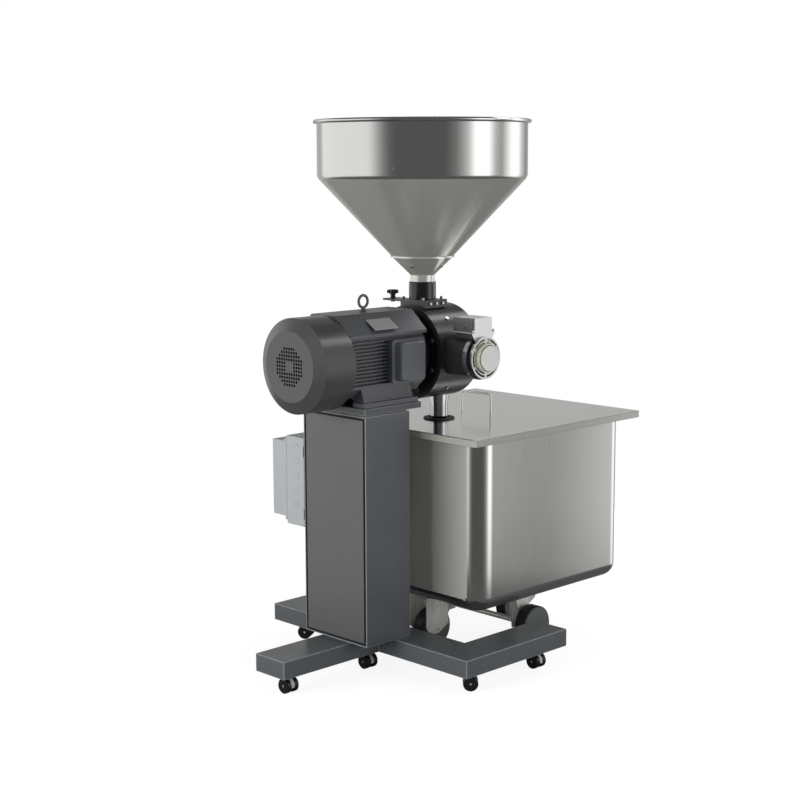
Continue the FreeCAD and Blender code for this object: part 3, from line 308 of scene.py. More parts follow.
@dataclass(frozen=True)
class BrushedSteel(Finish):
    """Fine-ground stainless sheet: soft clear reflections, drawn out by a faint grain."""

    grain: Grain = Grain.ALONG_Z
    metallic: float = 1.0
    anisotropy: float = 0.0
    # Grinding lines are about 0.1 mm wide; drawn at 2.5 mm so that they show.
    scratch_mm: float = 2.5
    smear: str = "#d0d1d0"
    grain_tint: float = 0.16
    grain_depth_mm: float = 0.0012
    cloud_mm: float = 240.0

    def make(self) -> bpy.types.Material:
        """Build the material: stretched scratches in gloss, tint and bump."""
        material, tree, shader = self.start()
        shader.inputs["Metallic"].default_value = self.metallic
        if self.anisotropy > 0.0:
            shader.inputs["Anisotropic"].default_value = self.anisotropy
            # The sheet is ground round its axis, so its gloss is turned a quarter.
            shader.inputs["Anisotropic Rotation"].default_value = 0.25
            tangent = add_node(tree, "ShaderNodeTangent",
                               {"direction_type": "RADIAL", "axis": "Z"})
            tree.links.new(tangent.outputs[0], shader.inputs["Tangent"])
        space = self.place(tree, self.grain.value)
        lines = self.mottle(tree, space, self.scratch_mm, 3.0, 0.0, self.grain_tint)
        self.tint(tree, shader, lines, self.smear)
        fine = self.mottle(tree, space, self.scratch_mm, 3.0, self.roughness - 0.02,
                           self.roughness + 0.02)
        broad = self.mottle(tree, self.place(tree), self.cloud_mm, 2.0, -0.012, 0.014)
        gloss = add_node(tree, "ShaderNodeMath", {"operation": "ADD"}, links={0: fine, 1: broad})
        tree.links.new(gloss.outputs[0], shader.inputs["Roughness"])
        self.relief(tree, shader, space, self.scratch_mm, 3.0, self.grain_depth_mm)
        return material


@dataclass(frozen=True)
class BrightMetal(Finish):
    """Polished or plated metal: mirror bright with a trace of handling marks."""

    mark: str = "#a7a9a8"
    mark_mm: float = 18.0
    mark_share: float = 0.3

    def make(self) -> bpy.types.Material:
        """Build the material: soft marks in gloss and tint."""
        material, tree, shader = self.start()
        shader.inputs["Metallic"].default_value = 1.0
        space = self.place(tree)
        marks = self.mottle(tree, space, self.mark_mm, 5.0, 0.0, self.mark_share)
        self.tint(tree, shader, marks, self.mark)
        gloss = self.mottle(tree, space, self.mark_mm, 5.0, self.roughness - 0.02,
                            self.roughness + 0.04)
        tree.links.new(gloss, shader.inputs["Roughness"])
        return material


@dataclass(frozen=True)
class Moulded(Finish):
    """Moulded plastic or rubber: spark-eroded grain and slight clouding."""

    # Spark-eroded grain is under 1 mm; drawn at 5 mm so that it shows.
    grain_mm: float = 5.0
    depth_mm: float = 0.02
    cloud: str = "#8f9396"
    cloud_mm: float = 60.0
    cloud_share: float = 0.25
    gloss_mm: float = 25.0

    def make(self) -> bpy.types.Material:
        """Build the material: fine grain in the bump, clouding in the colour."""
        material, tree, shader = self.start()
        space = self.place(tree)
        clouds = self.mottle(tree, space, self.cloud_mm, 4.0, 0.0, self.cloud_share)
        self.tint(tree, shader, clouds, self.cloud)
        gloss = self.mottle(tree, space, self.gloss_mm, 2.0, self.roughness - 0.04,
                            self.roughness + 0.05)
        tree.links.new(gloss, shader.inputs["Roughness"])
        self.relief(tree, shader, space, self.grain_mm, 2.0, self.depth_mm)
        return material


@dataclass(frozen=True)
class Patch:
    """Faces of a piece that carry another finish.

    The test gets a face's middle in millimetres and its normal.
    """

    finish: Finish
    holds: Callable[[Vector, Vector], bool]


class Finishes:
    """Every finish of the machine, each made once."""

    # Powder coat on the column: satin, dark and a little blue.
    COLUMN_SIDE = PowderCoat("powder_coat_column", "#46484d", 0.32)
    # The door's coat: the same satin, painted a little lighter and neutral grey where the door
    # faces the key lamp: painted light.
    COLUMN_PANEL_LIT = PowderCoat("powder_coat_panel_painted_light", "#4f4f50", 0.34)
    # Smooth powder coat on the beams: lighter, with a soft sheen and no peel.
    FRAME = PowderCoat("powder_coat_beams", "#565a5d", 0.27, peel_depth_mm=0.0, veil=0.0)
    # Powder coat on the motor's bed: darker and duller than the column's.
    BED = PowderCoat("powder_coat_bed", "#3a3c3f", 0.36)
    # Sprayed sheet of the fan's cowl: near black, with a long soft highlight.
    COWL = PowderCoat("sprayed_fan_cowl", "#3e3f40", 0.25, dust="#56585b", veil=0.08)
    # Sprayed iron casting: mid grey, with the sand's fine unevenness.
    MOTOR = CastPaint("sprayed_motor_casting", "#4e5054", 0.34)
    # Sprayed die casting of the terminal box: finer sand, so smoother.
    TERMINAL = CastPaint("sprayed_terminal_box", "#505358", 0.34, depth_mm=0.03)
    # Painted chamber: almost black, with broad soft bands along the drum.
    DRUM = PowderCoat("painted_chamber", "#2c2d2c", 0.27, dust="#3b3c3a", veil=0.10)
    # Painted flange: flat black. The same black on the adjuster box behind the handwheel is
    # painted shade between the parts.
    FLANGE_AND_WHEEL_SHADE = PowderCoat("flange_black_and_painted_shade", "#121314", 0.36, dust="#1b1c1e")
    # Blackened steel of the slide gate: dark grey, dull.
    GATE = PowderCoat("blackened_gate_steel", "#2e3031", 0.30)
    # Gloss black enamel on the feed pipe: thin clear reflections on black.
    PIPE = PowderCoat("gloss_black_pipe", "#121314", 0.08, peel_depth_mm=0.004, dust="#222324")
    # The rounded edges get a lighter, glossier paint: its lighter colour is a painted highlight
    # along each edge.
    PAINT_EDGE_HIGHLIGHT = PowderCoat("painted_edge_highlight", "#85888b", 0.22, peel_depth_mm=0.0)
    CAST_EDGE_HIGHLIGHT = PowderCoat("painted_casting_edge_highlight", "#6a6d71", 0.26, peel_depth_mm=0.0)
    # Stainless sheet ground round the hopper: upright bright and dark bands.
    HOPPER = BrushedSteel("ground_hopper_steel", "#c3c3c2", 0.18, grain=Grain.ROUND_Z,
                          anisotropy=0.6)
    # The cone is rougher than the hopper's wall, and a half-matt, lighter copy of its steel:
    # painted light on a surface that faces down.
    CONE_LIT_COPY = BrushedSteel("hopper_cone_painted_light", "#c2c1bb", 0.24, grain=Grain.ROUND_Z, metallic=0.62)
    # Stainless sheet of the tub: clear bands at its round corners.
    TUB = BrushedSteel("ground_tub_steel", "#bbbbb9", 0.12, grain=Grain.ALONG_Z)
    # The tub's end sheet towards the column: rougher than the tub, with no clear reflection, and a
    # half-matt, lighter copy of its steel that is painted light.
    TUB_END_LIT_COPY = BrushedSteel("tub_end_painted_light", "#b0afa8", 0.42, grain=Grain.ALONG_Z,
                           metallic=0.25)
    # Stainless sheet ground along the lid: blurred reflections of the machine.
    LID = BrushedSteel("ground_lid_steel", "#c6c6c4", 0.14, grain=Grain.ALONG_Y)
    # Bare aluminium: pale and satin.
    PLATE = BrushedSteel("satin_aluminium_plate", "#a4a6a8", 0.36, grain=Grain.ALONG_X,
                         metallic=0.4)
    # Zinc-plated pressings: pale and slightly cream, lined by the rolling.
    FORK = BrushedSteel("zinc_plated_pressing", "#e4e4de", 0.26, grain=Grain.ALONG_Z,
                        metallic=0.45)
    # Polished stainless tube: sharp dark and light stripes.
    SPOUT = BrightMetal("polished_spout_steel", "#b4b6b7", 0.12)
    # Zinc-plated screws and trim: small bright glints.
    BRIGHT = BrightMetal("zinc_plated_steel", "#dadcdc", 0.18, mark="#c2c4c4")
    # Nickel-plated sheet of the adjuster's box: nearly white, satin.
    SHEET = BrightMetal("satin_nickel_sheet", "#e2e4e4", 0.30, mark="#d4d6d6")
    # Polished cast aluminium of the handwheel: white with soft edges.
    WHEEL = BrightMetal("polished_aluminium_wheel", "#e6e7e5", 0.22, mark="#d6d7d2")
    # Cream enamel inside the handwheel: warm, half gloss.
    CUP = Moulded("cream_enamel_cup", "#c9c9b4", 0.32, cloud="#bcbca6")
    # Turned steel inside the machine: grey and bright.
    MACHINED = BrightMetal("turned_steel", "#8f9193", 0.30)
    # Moulded grey ABS of the control box: pale, matt, faintly clouded.
    BOX = Moulded("grey_abs_box", "#a3a7a9", 0.42, cloud="#979b9e")
    # Black phenolic knob: deep black with a gloss.
    KNOB = Moulded("black_phenolic", "#131415", 0.22, cloud="#1c1d1f")
    # Black rubber round the spout: matt, without highlights.
    RUBBER = Moulded("black_rubber", "#161617", 0.62, cloud="#222224")
    # Grey nylon of the trolley's wheels: mid grey, half matt.
    WHEEL_FACE = Moulded("grey_nylon_wheel", "#54575a", 0.40, cloud="#5e6163")
    # Black elastic tyre: dull, a little lighter where it is worn.
    TYRE = Moulded("black_elastic_tyre", "#1b1c1d", 0.55, cloud="#28292a")
    # Grey nylon hood of a castor: pale against its black wheels.
    CASTOR = Moulded("grey_nylon_hood", "#b4b6b7", 0.36, cloud="#a8aaac")
    # Black nylon castor wheels: black with a weak gloss.
    TREAD = Moulded("black_nylon_wheel", "#131415", 0.34, cloud="#1c1d1f")
    # Moulded green push button: plain colour, smooth.
    GREEN = Moulded("green_button", "#2c8a48", 0.28, cloud="#25753d")
    # Moulded red push button: plain colour, smooth.
    RED = Moulded("red_button", "#b42a25", 0.28, cloud="#9c231f")
    # Black moulded fan behind the cowl's holes: matt.
    FAN = Moulded("black_fan_plastic", "#1a1b1c", 0.50, cloud="#242526")

    _made: dict[str, bpy.types.Material] = {}

    @classmethod
    def get(cls, finish: Finish) -> bpy.types.Material:
        """Give a finish's material, built the first time it is asked for."""
        if finish.name not in cls._made:
            cls._made[finish.name] = finish.make()
        return cls._made[finish.name]


@dataclass
class Workshop:
    """Turns CAD nodes and raw meshes into finished pieces on their bodies."""

    frame: dict
    made: list[bpy.types.Object] = field(default_factory=list)
    # Points nearer than this are one, and faces within this angle make one flat face.
    merge_mm: float = 0.001
    flat_degrees: float = 0.6
    # No edge flatter than this is rounded.
    round_from: float = 30.0

    def body_of(self, node: str) -> str:
        """Name the body that a CAD node rides on."""
        return self.frame["nodes"][node]["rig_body"]

    def soften(self, bm: bmesh.types.BMesh, crease: float) -> None:
        """Shade a mesh smoothly, with its creases kept sharp.

        Args:
            bm: The mesh.
            crease: The angle from which an edge is sharp, in degrees.
        """
        for face in bm.faces:
            face.smooth = True
        for edge in bm.edges:
            if len(edge.link_faces) == 2:
                edge.smooth = edge.calc_face_angle(0.0) < math.radians(crease)

    def finish(self, bm: bmesh.types.BMesh, name: str, node: str, finish: Finish,
               crease: float = 28.0, bevel_mm: float = 0.0, stands_for: bool = True,
               edge: Finish | None = None, patches: Sequence[Patch] = ()) -> bpy.types.Object:
        """Make an object of a mesh, dress it and set it on its body.

        Args:
            bm: The mesh, in the row frame. It is freed.
            name: The piece's name.
            node: The CAD node that it belongs with.
            finish: Its finish.
            crease: The angle in degrees from which an edge is sharp.
            bevel_mm: Width of the rounding on sharp edges.
            stands_for: True where the piece replaces the CAD node.
            edge: The finish of the rounded edges, whose lighter colour is a painted highlight,
                where it isn't the piece's own.
            patches: Faces with a finish of their own.

        Returns:
            The finished object.
        """
        self.soften(bm, crease)
        for face in bm.faces:
            middle, normal = face.calc_center_median() / MM, face.normal
            for number, patch in enumerate(patches, start=1):
                if patch.holds(middle, normal):
                    face.material_index = number
        mesh = bpy.data.meshes.new(name)
        bm.to_mesh(mesh)
        bm.free()
        for coat in [finish, *(patch.finish for patch in patches), *([edge] if edge else [])]:
            mesh.materials.append(Finishes.get(coat))
        piece = bpy.data.objects.new(name, mesh)
        bpy.context.scene.collection.objects.link(piece)
        if bevel_mm > 0.0:
            rounding = piece.modifiers.new("edge_rounding", "BEVEL")
            rounding.width = bevel_mm * MM
            rounding.segments = 2
            rounding.limit_method = "ANGLE"
            rounding.angle_limit = math.radians(max(crease, self.round_from))
            rounding.use_clamp_overlap = True
            rounding.harden_normals = True
            # The rounded faces take the edge finish, whose lighter colour is a painted highlight.
            rounding.material = len(patches) + 1 if edge else -1
        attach(piece, self.body_of(node))
        if stands_for:
            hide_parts(node)
        self.made.append(piece)
        log.info("%s on %s", name, self.body_of(node))
        return piece

    def refine(self, node: str, finish: Finish, crease: float = 28.0, bevel_mm: float = 0.8,
               edge: Finish | None = None, patches: Sequence[Patch] = ()) -> bpy.types.Object:
        """Stand in for a CAD node with a merged, smoothly shaded copy of it.

        Args:
            node: The CAD node.
            finish: Its finish.
            crease: The angle in degrees from which an edge is sharp.
            bevel_mm: Width of the rounding on sharp edges.
            edge: The finish of the rounded edges, whose lighter colour is a painted highlight,
                where it isn't the piece's own.
            patches: Faces with a finish of their own.

        Returns:
            The finished object.
        """
        bm = bmesh.new()
        bm.from_mesh(self.frame["nodes"][node].data)
        bmesh.ops.remove_doubles(bm, verts=bm.verts, dist=self.merge_mm * MM)
        bmesh.ops.dissolve_limit(bm, angle_limit=math.radians(self.flat_degrees), verts=bm.verts,
                                 edges=bm.edges)
        return self.finish(bm, node + "_finished", node, finish, crease, bevel_mm, edge=edge,
                           patches=patches)

    def paint(self, node: str, finish: Finish) -> None:
        """Give a CAD node that stays as it is its finish."""
        mesh = self.frame["nodes"][node].data
        mesh.materials.clear()
        mesh.materials.append(Finishes.get(finish))


def lathe(profile: Sequence[tuple[float, float]], centre: Vector, axis: Axis, steps: int = 96,
          closed: bool = False) -> bmesh.types.BMesh:
    """Turn a profile round an axis.

    Args:
        profile: Points of (place along the axis, radius) in millimetres.
        centre: A point on the axis.
        axis: The axis.
        steps: Number of steps round.
        closed: True where the profile's end meets its start.

    Returns:
        The turned mesh, with its poles and its seam closed.
    """
    bm = bmesh.new()
    verts = [bm.verts.new(centre + axis.vector * (along * MM) + axis.across * (radius * MM))
             for along, radius in profile]
    pairs = list(zip(verts, verts[1:]))
    if closed:
        pairs.append((verts[-1], verts[0]))
    edges = [bm.edges.new(pair) for pair in pairs]
    bmesh.ops.spin(bm, geom=verts + edges, cent=centre, axis=axis.vector, dvec=(0.0, 0.0, 0.0),
                   angle=math.tau, steps=steps, use_merge=True)
    bmesh.ops.remove_doubles(bm, verts=bm.verts, dist=SEAM)
    bmesh.ops.recalc_face_normals(bm, faces=bm.faces)
    return bm


@dataclass(frozen=True)
class SoftBox:
    """One area lamp: where it hangs, the point it faces, its size in metres and its power."""

    name: str
    place: tuple[float, float, float]
    aim: tuple[float, float, float]
    size: tuple[float, float]
    watts: float
    # True where glossy surfaces show it; the ring gives them the other reflections.
    mirrored: bool = False


@dataclass
class Studio:
    """Floor, surround, lamps and the camera at the photograph's place."""

    camera_place: tuple[float, float, float] = (-3.7956, -3.7488, 1.6989)
    azimuth: float = -44.52
    pitch: float = 8.68
    roll: float = -0.212
    lens: float = 70.65
    floor_radius: float = 2.4
    floor_drop: float = 0.0005
    floor_grey: float = 0.24
    # What lifts the floor to white for the camera, near the machine and at the rim.
    lift: tuple[float, float] = (0.88, 1.02)
    lift_from: float = 0.7
    # Between these distances the floor opens for glossy rays.
    opens: tuple[float, float] = (0.9, 1.5)
    ceiling: float = 0.14
    # Heights of a ray between which the ring fades to the ceiling's level, up and down.
    ring_top: tuple[float, float] = (0.30, 0.62)
    ring_foot: tuple[float, float] = (-0.42, -0.22)
    # Bearing in degrees and brightness of the soft boxes and the dark gaps between them.
    ring: tuple[tuple[float, float], ...] = (
        (-180, 0.45), (-172, 0.2), (-163, 0.14), (-110, 0.14), (-98, 0.28), (-85, 0.8), (-76, 2.0),
        (-60, 2.0), (-51, 0.8), (-40, 0.46), (-31, 1.2), (-22, 1.9), (-8, 1.8), (0, 0.9),
        (17, 0.3), (30, 0.56), (80, 0.56), (90, 1.25), (165, 1.25), (180, 0.45))
    # A key at the left, fills at the right and in front, and strips over the far side.
    boxes: tuple[SoftBox, ...] = (
        SoftBox("key_left", (-4.6, 0.6, 1.3), (0.0, 0.0, 0.9), (2.2, 2.0), 135.0),
        SoftBox("fill_right", (0.4, -4.7, 1.3), (0.1, 0.0, 0.9), (2.4, 2.0), 62.0),
        SoftBox("front_fill", (-3.0, -3.3, 1.1), (0.0, 0.0, 0.9), (1.6, 1.2), 26.0),
        SoftBox("back_right", (4.2, 2.6, 2.0), (0.2, 0.0, 0.9), (2.2, 2.2), 45.0),
        SoftBox("strip_top", (3.0, 0.0, 4.0), (-0.2, 0.0, 1.1), (0.7, 1.4), 15.0, True),
        SoftBox("strip_side", (2.4, -1.75, 3.7), (-0.5, -0.1, 1.1), (0.55, 1.3), 13.0, True))

    def build(self) -> None:
        """Set everything that isn't the object."""
        self.floor()
        self.world()
        for box in self.boxes:
            self.hang(box)
        self.camera()

    def floor(self) -> None:
        """A pale round floor that fades into the white surround.

        The camera sees it lifted to white, with the object's shadow left on it. Other rays
        see its own plain paint, and glossy rays go through it away from the machine.
        """
        bm = bmesh.new()
        bmesh.ops.create_circle(bm, cap_ends=True, segments=96, radius=self.floor_radius)
        mesh = bpy.data.meshes.new("studio_floor")
        bm.to_mesh(mesh)
        bm.free()
        material = bpy.data.materials.new("studio_floor_paint")
        material.use_nodes = True
        tree = material.node_tree
        tree.nodes.clear()
        where = add_node(tree, "ShaderNodeTexCoord")
        reach = add_node(tree, "ShaderNodeVectorMath", {"operation": "LENGTH"},
                         links={0: where.outputs["Object"]})
        lift = add_node(tree, "ShaderNodeMapRange", {"interpolation_type": "SMOOTHSTEP"},
                        {"From Min": self.lift_from, "From Max": self.floor_radius - 0.1,
                         "To Min": self.lift[0], "To Max": self.lift[1]},
                        {"Value": reach.outputs["Value"]})
        paint = add_node(tree, "ShaderNodeBsdfDiffuse",
                         values={"Color": (*(self.floor_grey,) * 3, 1.0)})
        glow = add_node(tree, "ShaderNodeEmission", values={"Color": (1.0, 1.0, 1.0, 1.0)},
                        links={"Strength": lift.outputs["Result"]})
        lit = add_node(tree, "ShaderNodeAddShader",
                       links={0: paint.outputs[0], 1: glow.outputs[0]})
        both = add_node(tree, "ShaderNodeMixShader",
                        links={0: self.seen(tree), 1: paint.outputs[0], 2: lit.outputs[0]})
        # Away from the machine, metals see the soft boxes of the surround instead of the floor.
        rays = add_node(tree, "ShaderNodeLightPath")
        away = add_node(tree, "ShaderNodeMapRange", {"interpolation_type": "SMOOTHSTEP"},
                        {"From Min": self.opens[0], "From Max": self.opens[1], "To Min": 0.0,
                         "To Max": 1.0}, {"Value": reach.outputs["Value"]})
        open_to = add_node(tree, "ShaderNodeMath", {"operation": "MULTIPLY"},
                           links={0: away.outputs[0], 1: rays.outputs["Is Glossy Ray"]})
        clear = add_node(tree, "ShaderNodeBsdfTransparent")
        surface = add_node(tree, "ShaderNodeMixShader",
                           links={0: open_to.outputs[0], 1: both.outputs[0], 2: clear.outputs[0]})
        add_node(tree, "ShaderNodeOutputMaterial", links={"Surface": surface.outputs[0]})
        mesh.materials.append(material)
        floor = bpy.data.objects.new("studio_floor", mesh)
        bpy.context.scene.collection.objects.link(floor)
        floor.location.z = -self.floor_drop

    def seen(self, tree: bpy.types.NodeTree) -> bpy.types.NodeSocket:
        """A factor that is one for what the camera sees, directly or through glass."""
        rays = add_node(tree, "ShaderNodeLightPath")
        either = add_node(tree, "ShaderNodeMath", {"operation": "MAXIMUM"},
                          links={0: rays.outputs["Is Camera Ray"],
                                 1: rays.outputs["Is Transmission Ray"]})
        return either.outputs[0]

    def world(self) -> None:
        """White for the camera, and a ring of soft boxes for the light and the metals."""
        world = bpy.data.worlds.new("studio_room")
        bpy.context.scene.world = world
        world.use_nodes = True
        tree = world.node_tree
        tree.nodes.clear()
        where = add_node(tree, "ShaderNodeTexCoord")
        split = add_node(tree, "ShaderNodeSeparateXYZ", links={0: where.outputs["Generated"]})
        bearing = add_node(tree, "ShaderNodeMath", {"operation": "ARCTAN2"},
                           links={0: split.outputs["Y"], 1: split.outputs["X"]})
        turn = add_node(tree, "ShaderNodeMapRange",
                        values={"From Min": -math.pi, "From Max": math.pi, "To Min": 0.0,
                                "To Max": 1.0}, links={"Value": bearing.outputs[0]})
        ring = add_node(tree, "ShaderNodeValToRGB", links={0: turn.outputs[0]})
        ramp = ring.color_ramp
        top = max(level for _, level in self.ring)
        for index, (degrees, level) in enumerate(self.ring):
            place = degrees / 360.0 + 0.5
            stop = ramp.elements[index] if index < 2 else ramp.elements.new(place)
            stop.position = place
            grey = level / top
            stop.color = (grey, grey, grey * 0.985, 1.0)
        band = add_node(tree, "ShaderNodeBackground", values={"Strength": top},
                        links={"Color": ring.outputs[0]})
        ceiling = add_node(tree, "ShaderNodeBackground",
                           values={"Color": (1.0, 1.0, 1.0, 1.0), "Strength": self.ceiling})
        height = add_node(tree, "ShaderNodeMapRange", {"interpolation_type": "SMOOTHSTEP"},
                          {"From Min": self.ring_top[0], "From Max": self.ring_top[1],
                           "To Min": 0.0, "To Max": 1.0}, {"Value": split.outputs["Z"]})
        room = add_node(tree, "ShaderNodeMixShader",
                        links={0: height.outputs[0], 1: band.outputs[0], 2: ceiling.outputs[0]})
        depth = add_node(tree, "ShaderNodeMapRange", {"interpolation_type": "SMOOTHSTEP"},
                         {"From Min": self.ring_foot[0], "From Max": self.ring_foot[1],
                          "To Min": 1.0, "To Max": 0.0}, {"Value": split.outputs["Z"]})
        below = add_node(tree, "ShaderNodeMixShader",
                         links={0: depth.outputs[0], 1: room.outputs[0], 2: ceiling.outputs[0]})
        white = add_node(tree, "ShaderNodeBackground",
                         values={"Color": (1.0, 1.0, 1.0, 1.0), "Strength": 1.0})
        both = add_node(tree, "ShaderNodeMixShader",
                        links={0: self.seen(tree), 1: below.outputs[0], 2: white.outputs[0]})
        add_node(tree, "ShaderNodeOutputWorld", links={"Surface": both.outputs[0]})

    def hang(self, box: SoftBox) -> None:
        """Hang one soft box.

        Args:
            box: The lamp.
        """
        data = bpy.data.lights.new(box.name, "AREA")
        data.shape = "RECTANGLE"
        data.size, data.size_y = box.size
        data.energy = box.watts
        lamp = bpy.data.objects.new(box.name, data)
        bpy.context.scene.collection.objects.link(lamp)
        lamp.location = box.place
        facing = Vector(box.aim) - Vector(box.place)
        lamp.rotation_euler = facing.to_track_quat("-Z", "Y").to_euler()
        lamp.visible_glossy = box.mirrored

    def camera(self) -> None:
        """The camera of the photograph."""
        data = bpy.data.cameras.new("photo_camera")
        data.lens = self.lens
        data.sensor_width = 36.0
        camera = bpy.data.objects.new("photo_camera", data)
        bpy.context.scene.collection.objects.link(camera)
        turn = (Matrix.Rotation(math.radians(self.azimuth), 4, "Z")
                @ Matrix.Rotation(math.radians(90.0 - self.pitch), 4, "X")
                @ Matrix.Rotation(math.radians(self.roll), 4, "Z"))
        camera.matrix_world = Matrix.Translation(Vector(self.camera_place)) @ turn
        bpy.context.scene.camera = camera


def slab(centre_mm: Vector, size_mm: Vector, turn: Matrix | None = None) -> bmesh.types.BMesh:
    """Make a plate of a cube, set in place.

    Args:
        centre_mm: Its middle.
        size_mm: Its size along each axis.
        turn: Its turn about its own middle.

    Returns:
        The plate's mesh.
    """
    bm = bmesh.new()
    bmesh.ops.create_cube(bm, size=1.0)
    bmesh.ops.scale(bm, vec=size_mm * MM, verts=bm.verts)
    if turn is not None:
        bmesh.ops.rotate(bm, cent=(0.0, 0.0, 0.0), matrix=turn, verts=bm.verts)
    bmesh.ops.translate(bm, vec=centre_mm * MM, verts=bm.verts)
    return bm


@dataclass
class Stand:
    """Base beams, castors, column and motor bed."""

    shop: Workshop
    castors: tuple[str, ...] = ("stem", "middle", "right_corner", "left_corner", "right_leg",
                                "left_leg")

    def build(self) -> None:
        """Dress the stand."""
        self.shop.refine("base_frame", Finishes.FRAME, bevel_mm=2.4, edge=Finishes.PAINT_EDGE_HIGHLIGHT)
        self.shop.refine("column_shell", Finishes.COLUMN_SIDE, bevel_mm=2.0,
                         edge=Finishes.PAINT_EDGE_HIGHLIGHT)
        # The door takes the lighter copy of the column's coat: painted light.
        self.shop.refine("column_panel", Finishes.COLUMN_PANEL_LIT, bevel_mm=1.0)
        self.shop.refine("bed_plate", Finishes.BED, bevel_mm=1.4, edge=Finishes.PAINT_EDGE_HIGHLIGHT)
        for place in self.castors:
            self.shop.refine(place + "_castor_fork", Finishes.CASTOR, bevel_mm=0.8)
            self.shop.refine(place + "_castor_wheels", Finishes.TREAD, bevel_mm=0.0)


@dataclass
class MotorUnit:
    """The motor with its cowl, terminal box and lifting eye."""

    shop: Workshop
    plate_x: tuple[float, float] = (-345.0, -240.0)
    facet_top: tuple[float, float] = (-58.0, 1210.0)
    facet_foot: tuple[float, float] = (-128.0, 1147.0)
    # The plate's middle down the facet, its lift in degrees, and how far it stands off.
    plate_down: float = 58.0
    plate_lift: float = 9.0
    plate_off: float = 6.5
    plate_size: tuple[float, float] = (56.0, 1.6)
    # The wedge under it is this much shorter.
    wedge_inset: float = 14.0
    wedge_off: float = 2.2
    wedge_size: tuple[float, float] = (44.0, 6.5)

    def build(self) -> None:
        """Dress the motor."""
        self.shop.refine("motor_housing", Finishes.MOTOR, bevel_mm=1.0, edge=Finishes.CAST_EDGE_HIGHLIGHT)
        self.shop.refine("drive_flange", Finishes.FLANGE_AND_WHEEL_SHADE, bevel_mm=1.0)
        self.shop.refine("fan_cowl", Finishes.COWL, crease=15.0, bevel_mm=0.0)
        self.shop.paint("fan", Finishes.FAN)
        self.shop.paint("motor_shaft", Finishes.MACHINED)
        self.shop.refine("terminal_box", Finishes.TERMINAL, bevel_mm=1.6, edge=Finishes.CAST_EDGE_HIGHLIGHT)
        self.shop.refine("lifting_eye", Finishes.MOTOR, bevel_mm=0.0)
        self.blank_plate()

    def blank_plate(self) -> None:
        """A bare plate on the sloping facet, on a wedge that lifts its lower edge."""
        top = Vector((0.0, *self.facet_top))
        foot = Vector((0.0, *self.facet_foot))
        down = (foot - top).normalized()
        out = Vector((0.0, down.z, -down.y))
        length = self.plate_x[1] - self.plate_x[0]
        middle = Vector(((self.plate_x[0] + self.plate_x[1]) / 2, 0.0, 0.0))
        centre = middle + top + down * self.plate_down
        tilt = math.atan2(-down.z, -down.y)
        turn = Matrix.Rotation(tilt - math.radians(self.plate_lift), 3, "X")
        plate = slab(centre + out * self.plate_off, Vector((length, *self.plate_size)), turn)
        self.shop.finish(plate, "motor_blank_plate", "motor_housing", Finishes.PLATE, bevel_mm=0.5,
                         stands_for=False)
        wedge = slab(centre + out * self.wedge_off,
                     Vector((length - self.wedge_inset, *self.wedge_size)), turn)
        self.shop.finish(wedge, "motor_plate_wedge", "motor_housing", Finishes.MOTOR, bevel_mm=0.4,
                         stands_for=False)


@dataclass
class GrindingHead:
    """Chamber, burrs, adjuster and slide gate."""

    shop: Workshop
    wheel_z: float = 1055.0
    # The enamelled cup inside the handwheel, and the flange's face behind the wheel, painted black
    # as shade.
    cup_reach: tuple[float, float] = (34.0, 49.6)
    cup_y: tuple[float, float] = (-309.5, -281.5)
    shade_reach: float = 66.0
    shade_y: tuple[float, float] = (-273.5, -270.0)

    def on_cup(self, middle: Vector, normal: Vector) -> bool:
        """Tell whether a face of the handwheel is on its enamelled cup."""
        reach = math.hypot(middle.x, middle.z - self.wheel_z)
        return (self.cup_reach[0] < reach < self.cup_reach[1]
                and self.cup_y[0] < middle.y < self.cup_y[1])

    def painted_shade_behind_wheel(self, middle: Vector, normal: Vector) -> bool:
        """Tell whether a face of the flange lies in the wheel's shade, which is painted there in
        black.
        """
        reach = math.hypot(middle.x, middle.z - self.wheel_z)
        return (normal.y < -0.9 and reach < self.shade_reach
                and self.shade_y[0] < middle.y < self.shade_y[1])

    def build(self) -> None:
        """Dress the head."""
        self.shop.refine("chamber", Finishes.DRUM, bevel_mm=1.0, edge=Finishes.CAST_EDGE_HIGHLIGHT)
        self.shop.refine("chamber_cover", Finishes.DRUM, bevel_mm=1.2)
        for node in ("burr_carrier", "fixed_burr", "rotating_burr", "rotor", "adjuster_spindle"):
            self.shop.paint(node, Finishes.MACHINED)
        self.shop.refine("adjuster_housing", Finishes.DRUM, bevel_mm=1.0)
        # Behind the handwheel the box's face is painted flat black: painted shade seen through the
        # wheel's slots.
        self.shop.refine("adjuster_box", Finishes.SHEET, bevel_mm=0.8,
                         patches=(Patch(Finishes.FLANGE_AND_WHEEL_SHADE, self.painted_shade_behind_wheel),))
        self.shop.refine("handwheel", Finishes.WHEEL, bevel_mm=0.0,
                         patches=(Patch(Finishes.CUP, self.on_cup),))
        self.shop.refine("gate_frame", Finishes.GATE, bevel_mm=0.8, edge=Finishes.CAST_EDGE_HIGHLIGHT)
        self.shop.refine("gate_slide", Finishes.GATE, bevel_mm=0.5)
        self.shop.refine("gate_knob", Finishes.KNOB, bevel_mm=1.0)
        self.shop.refine("bright_fixings", Finishes.BRIGHT, bevel_mm=0.5)
        self.shop.refine("black_fixings", Finishes.GATE, bevel_mm=0.5, edge=Finishes.CAST_EDGE_HIGHLIGHT)


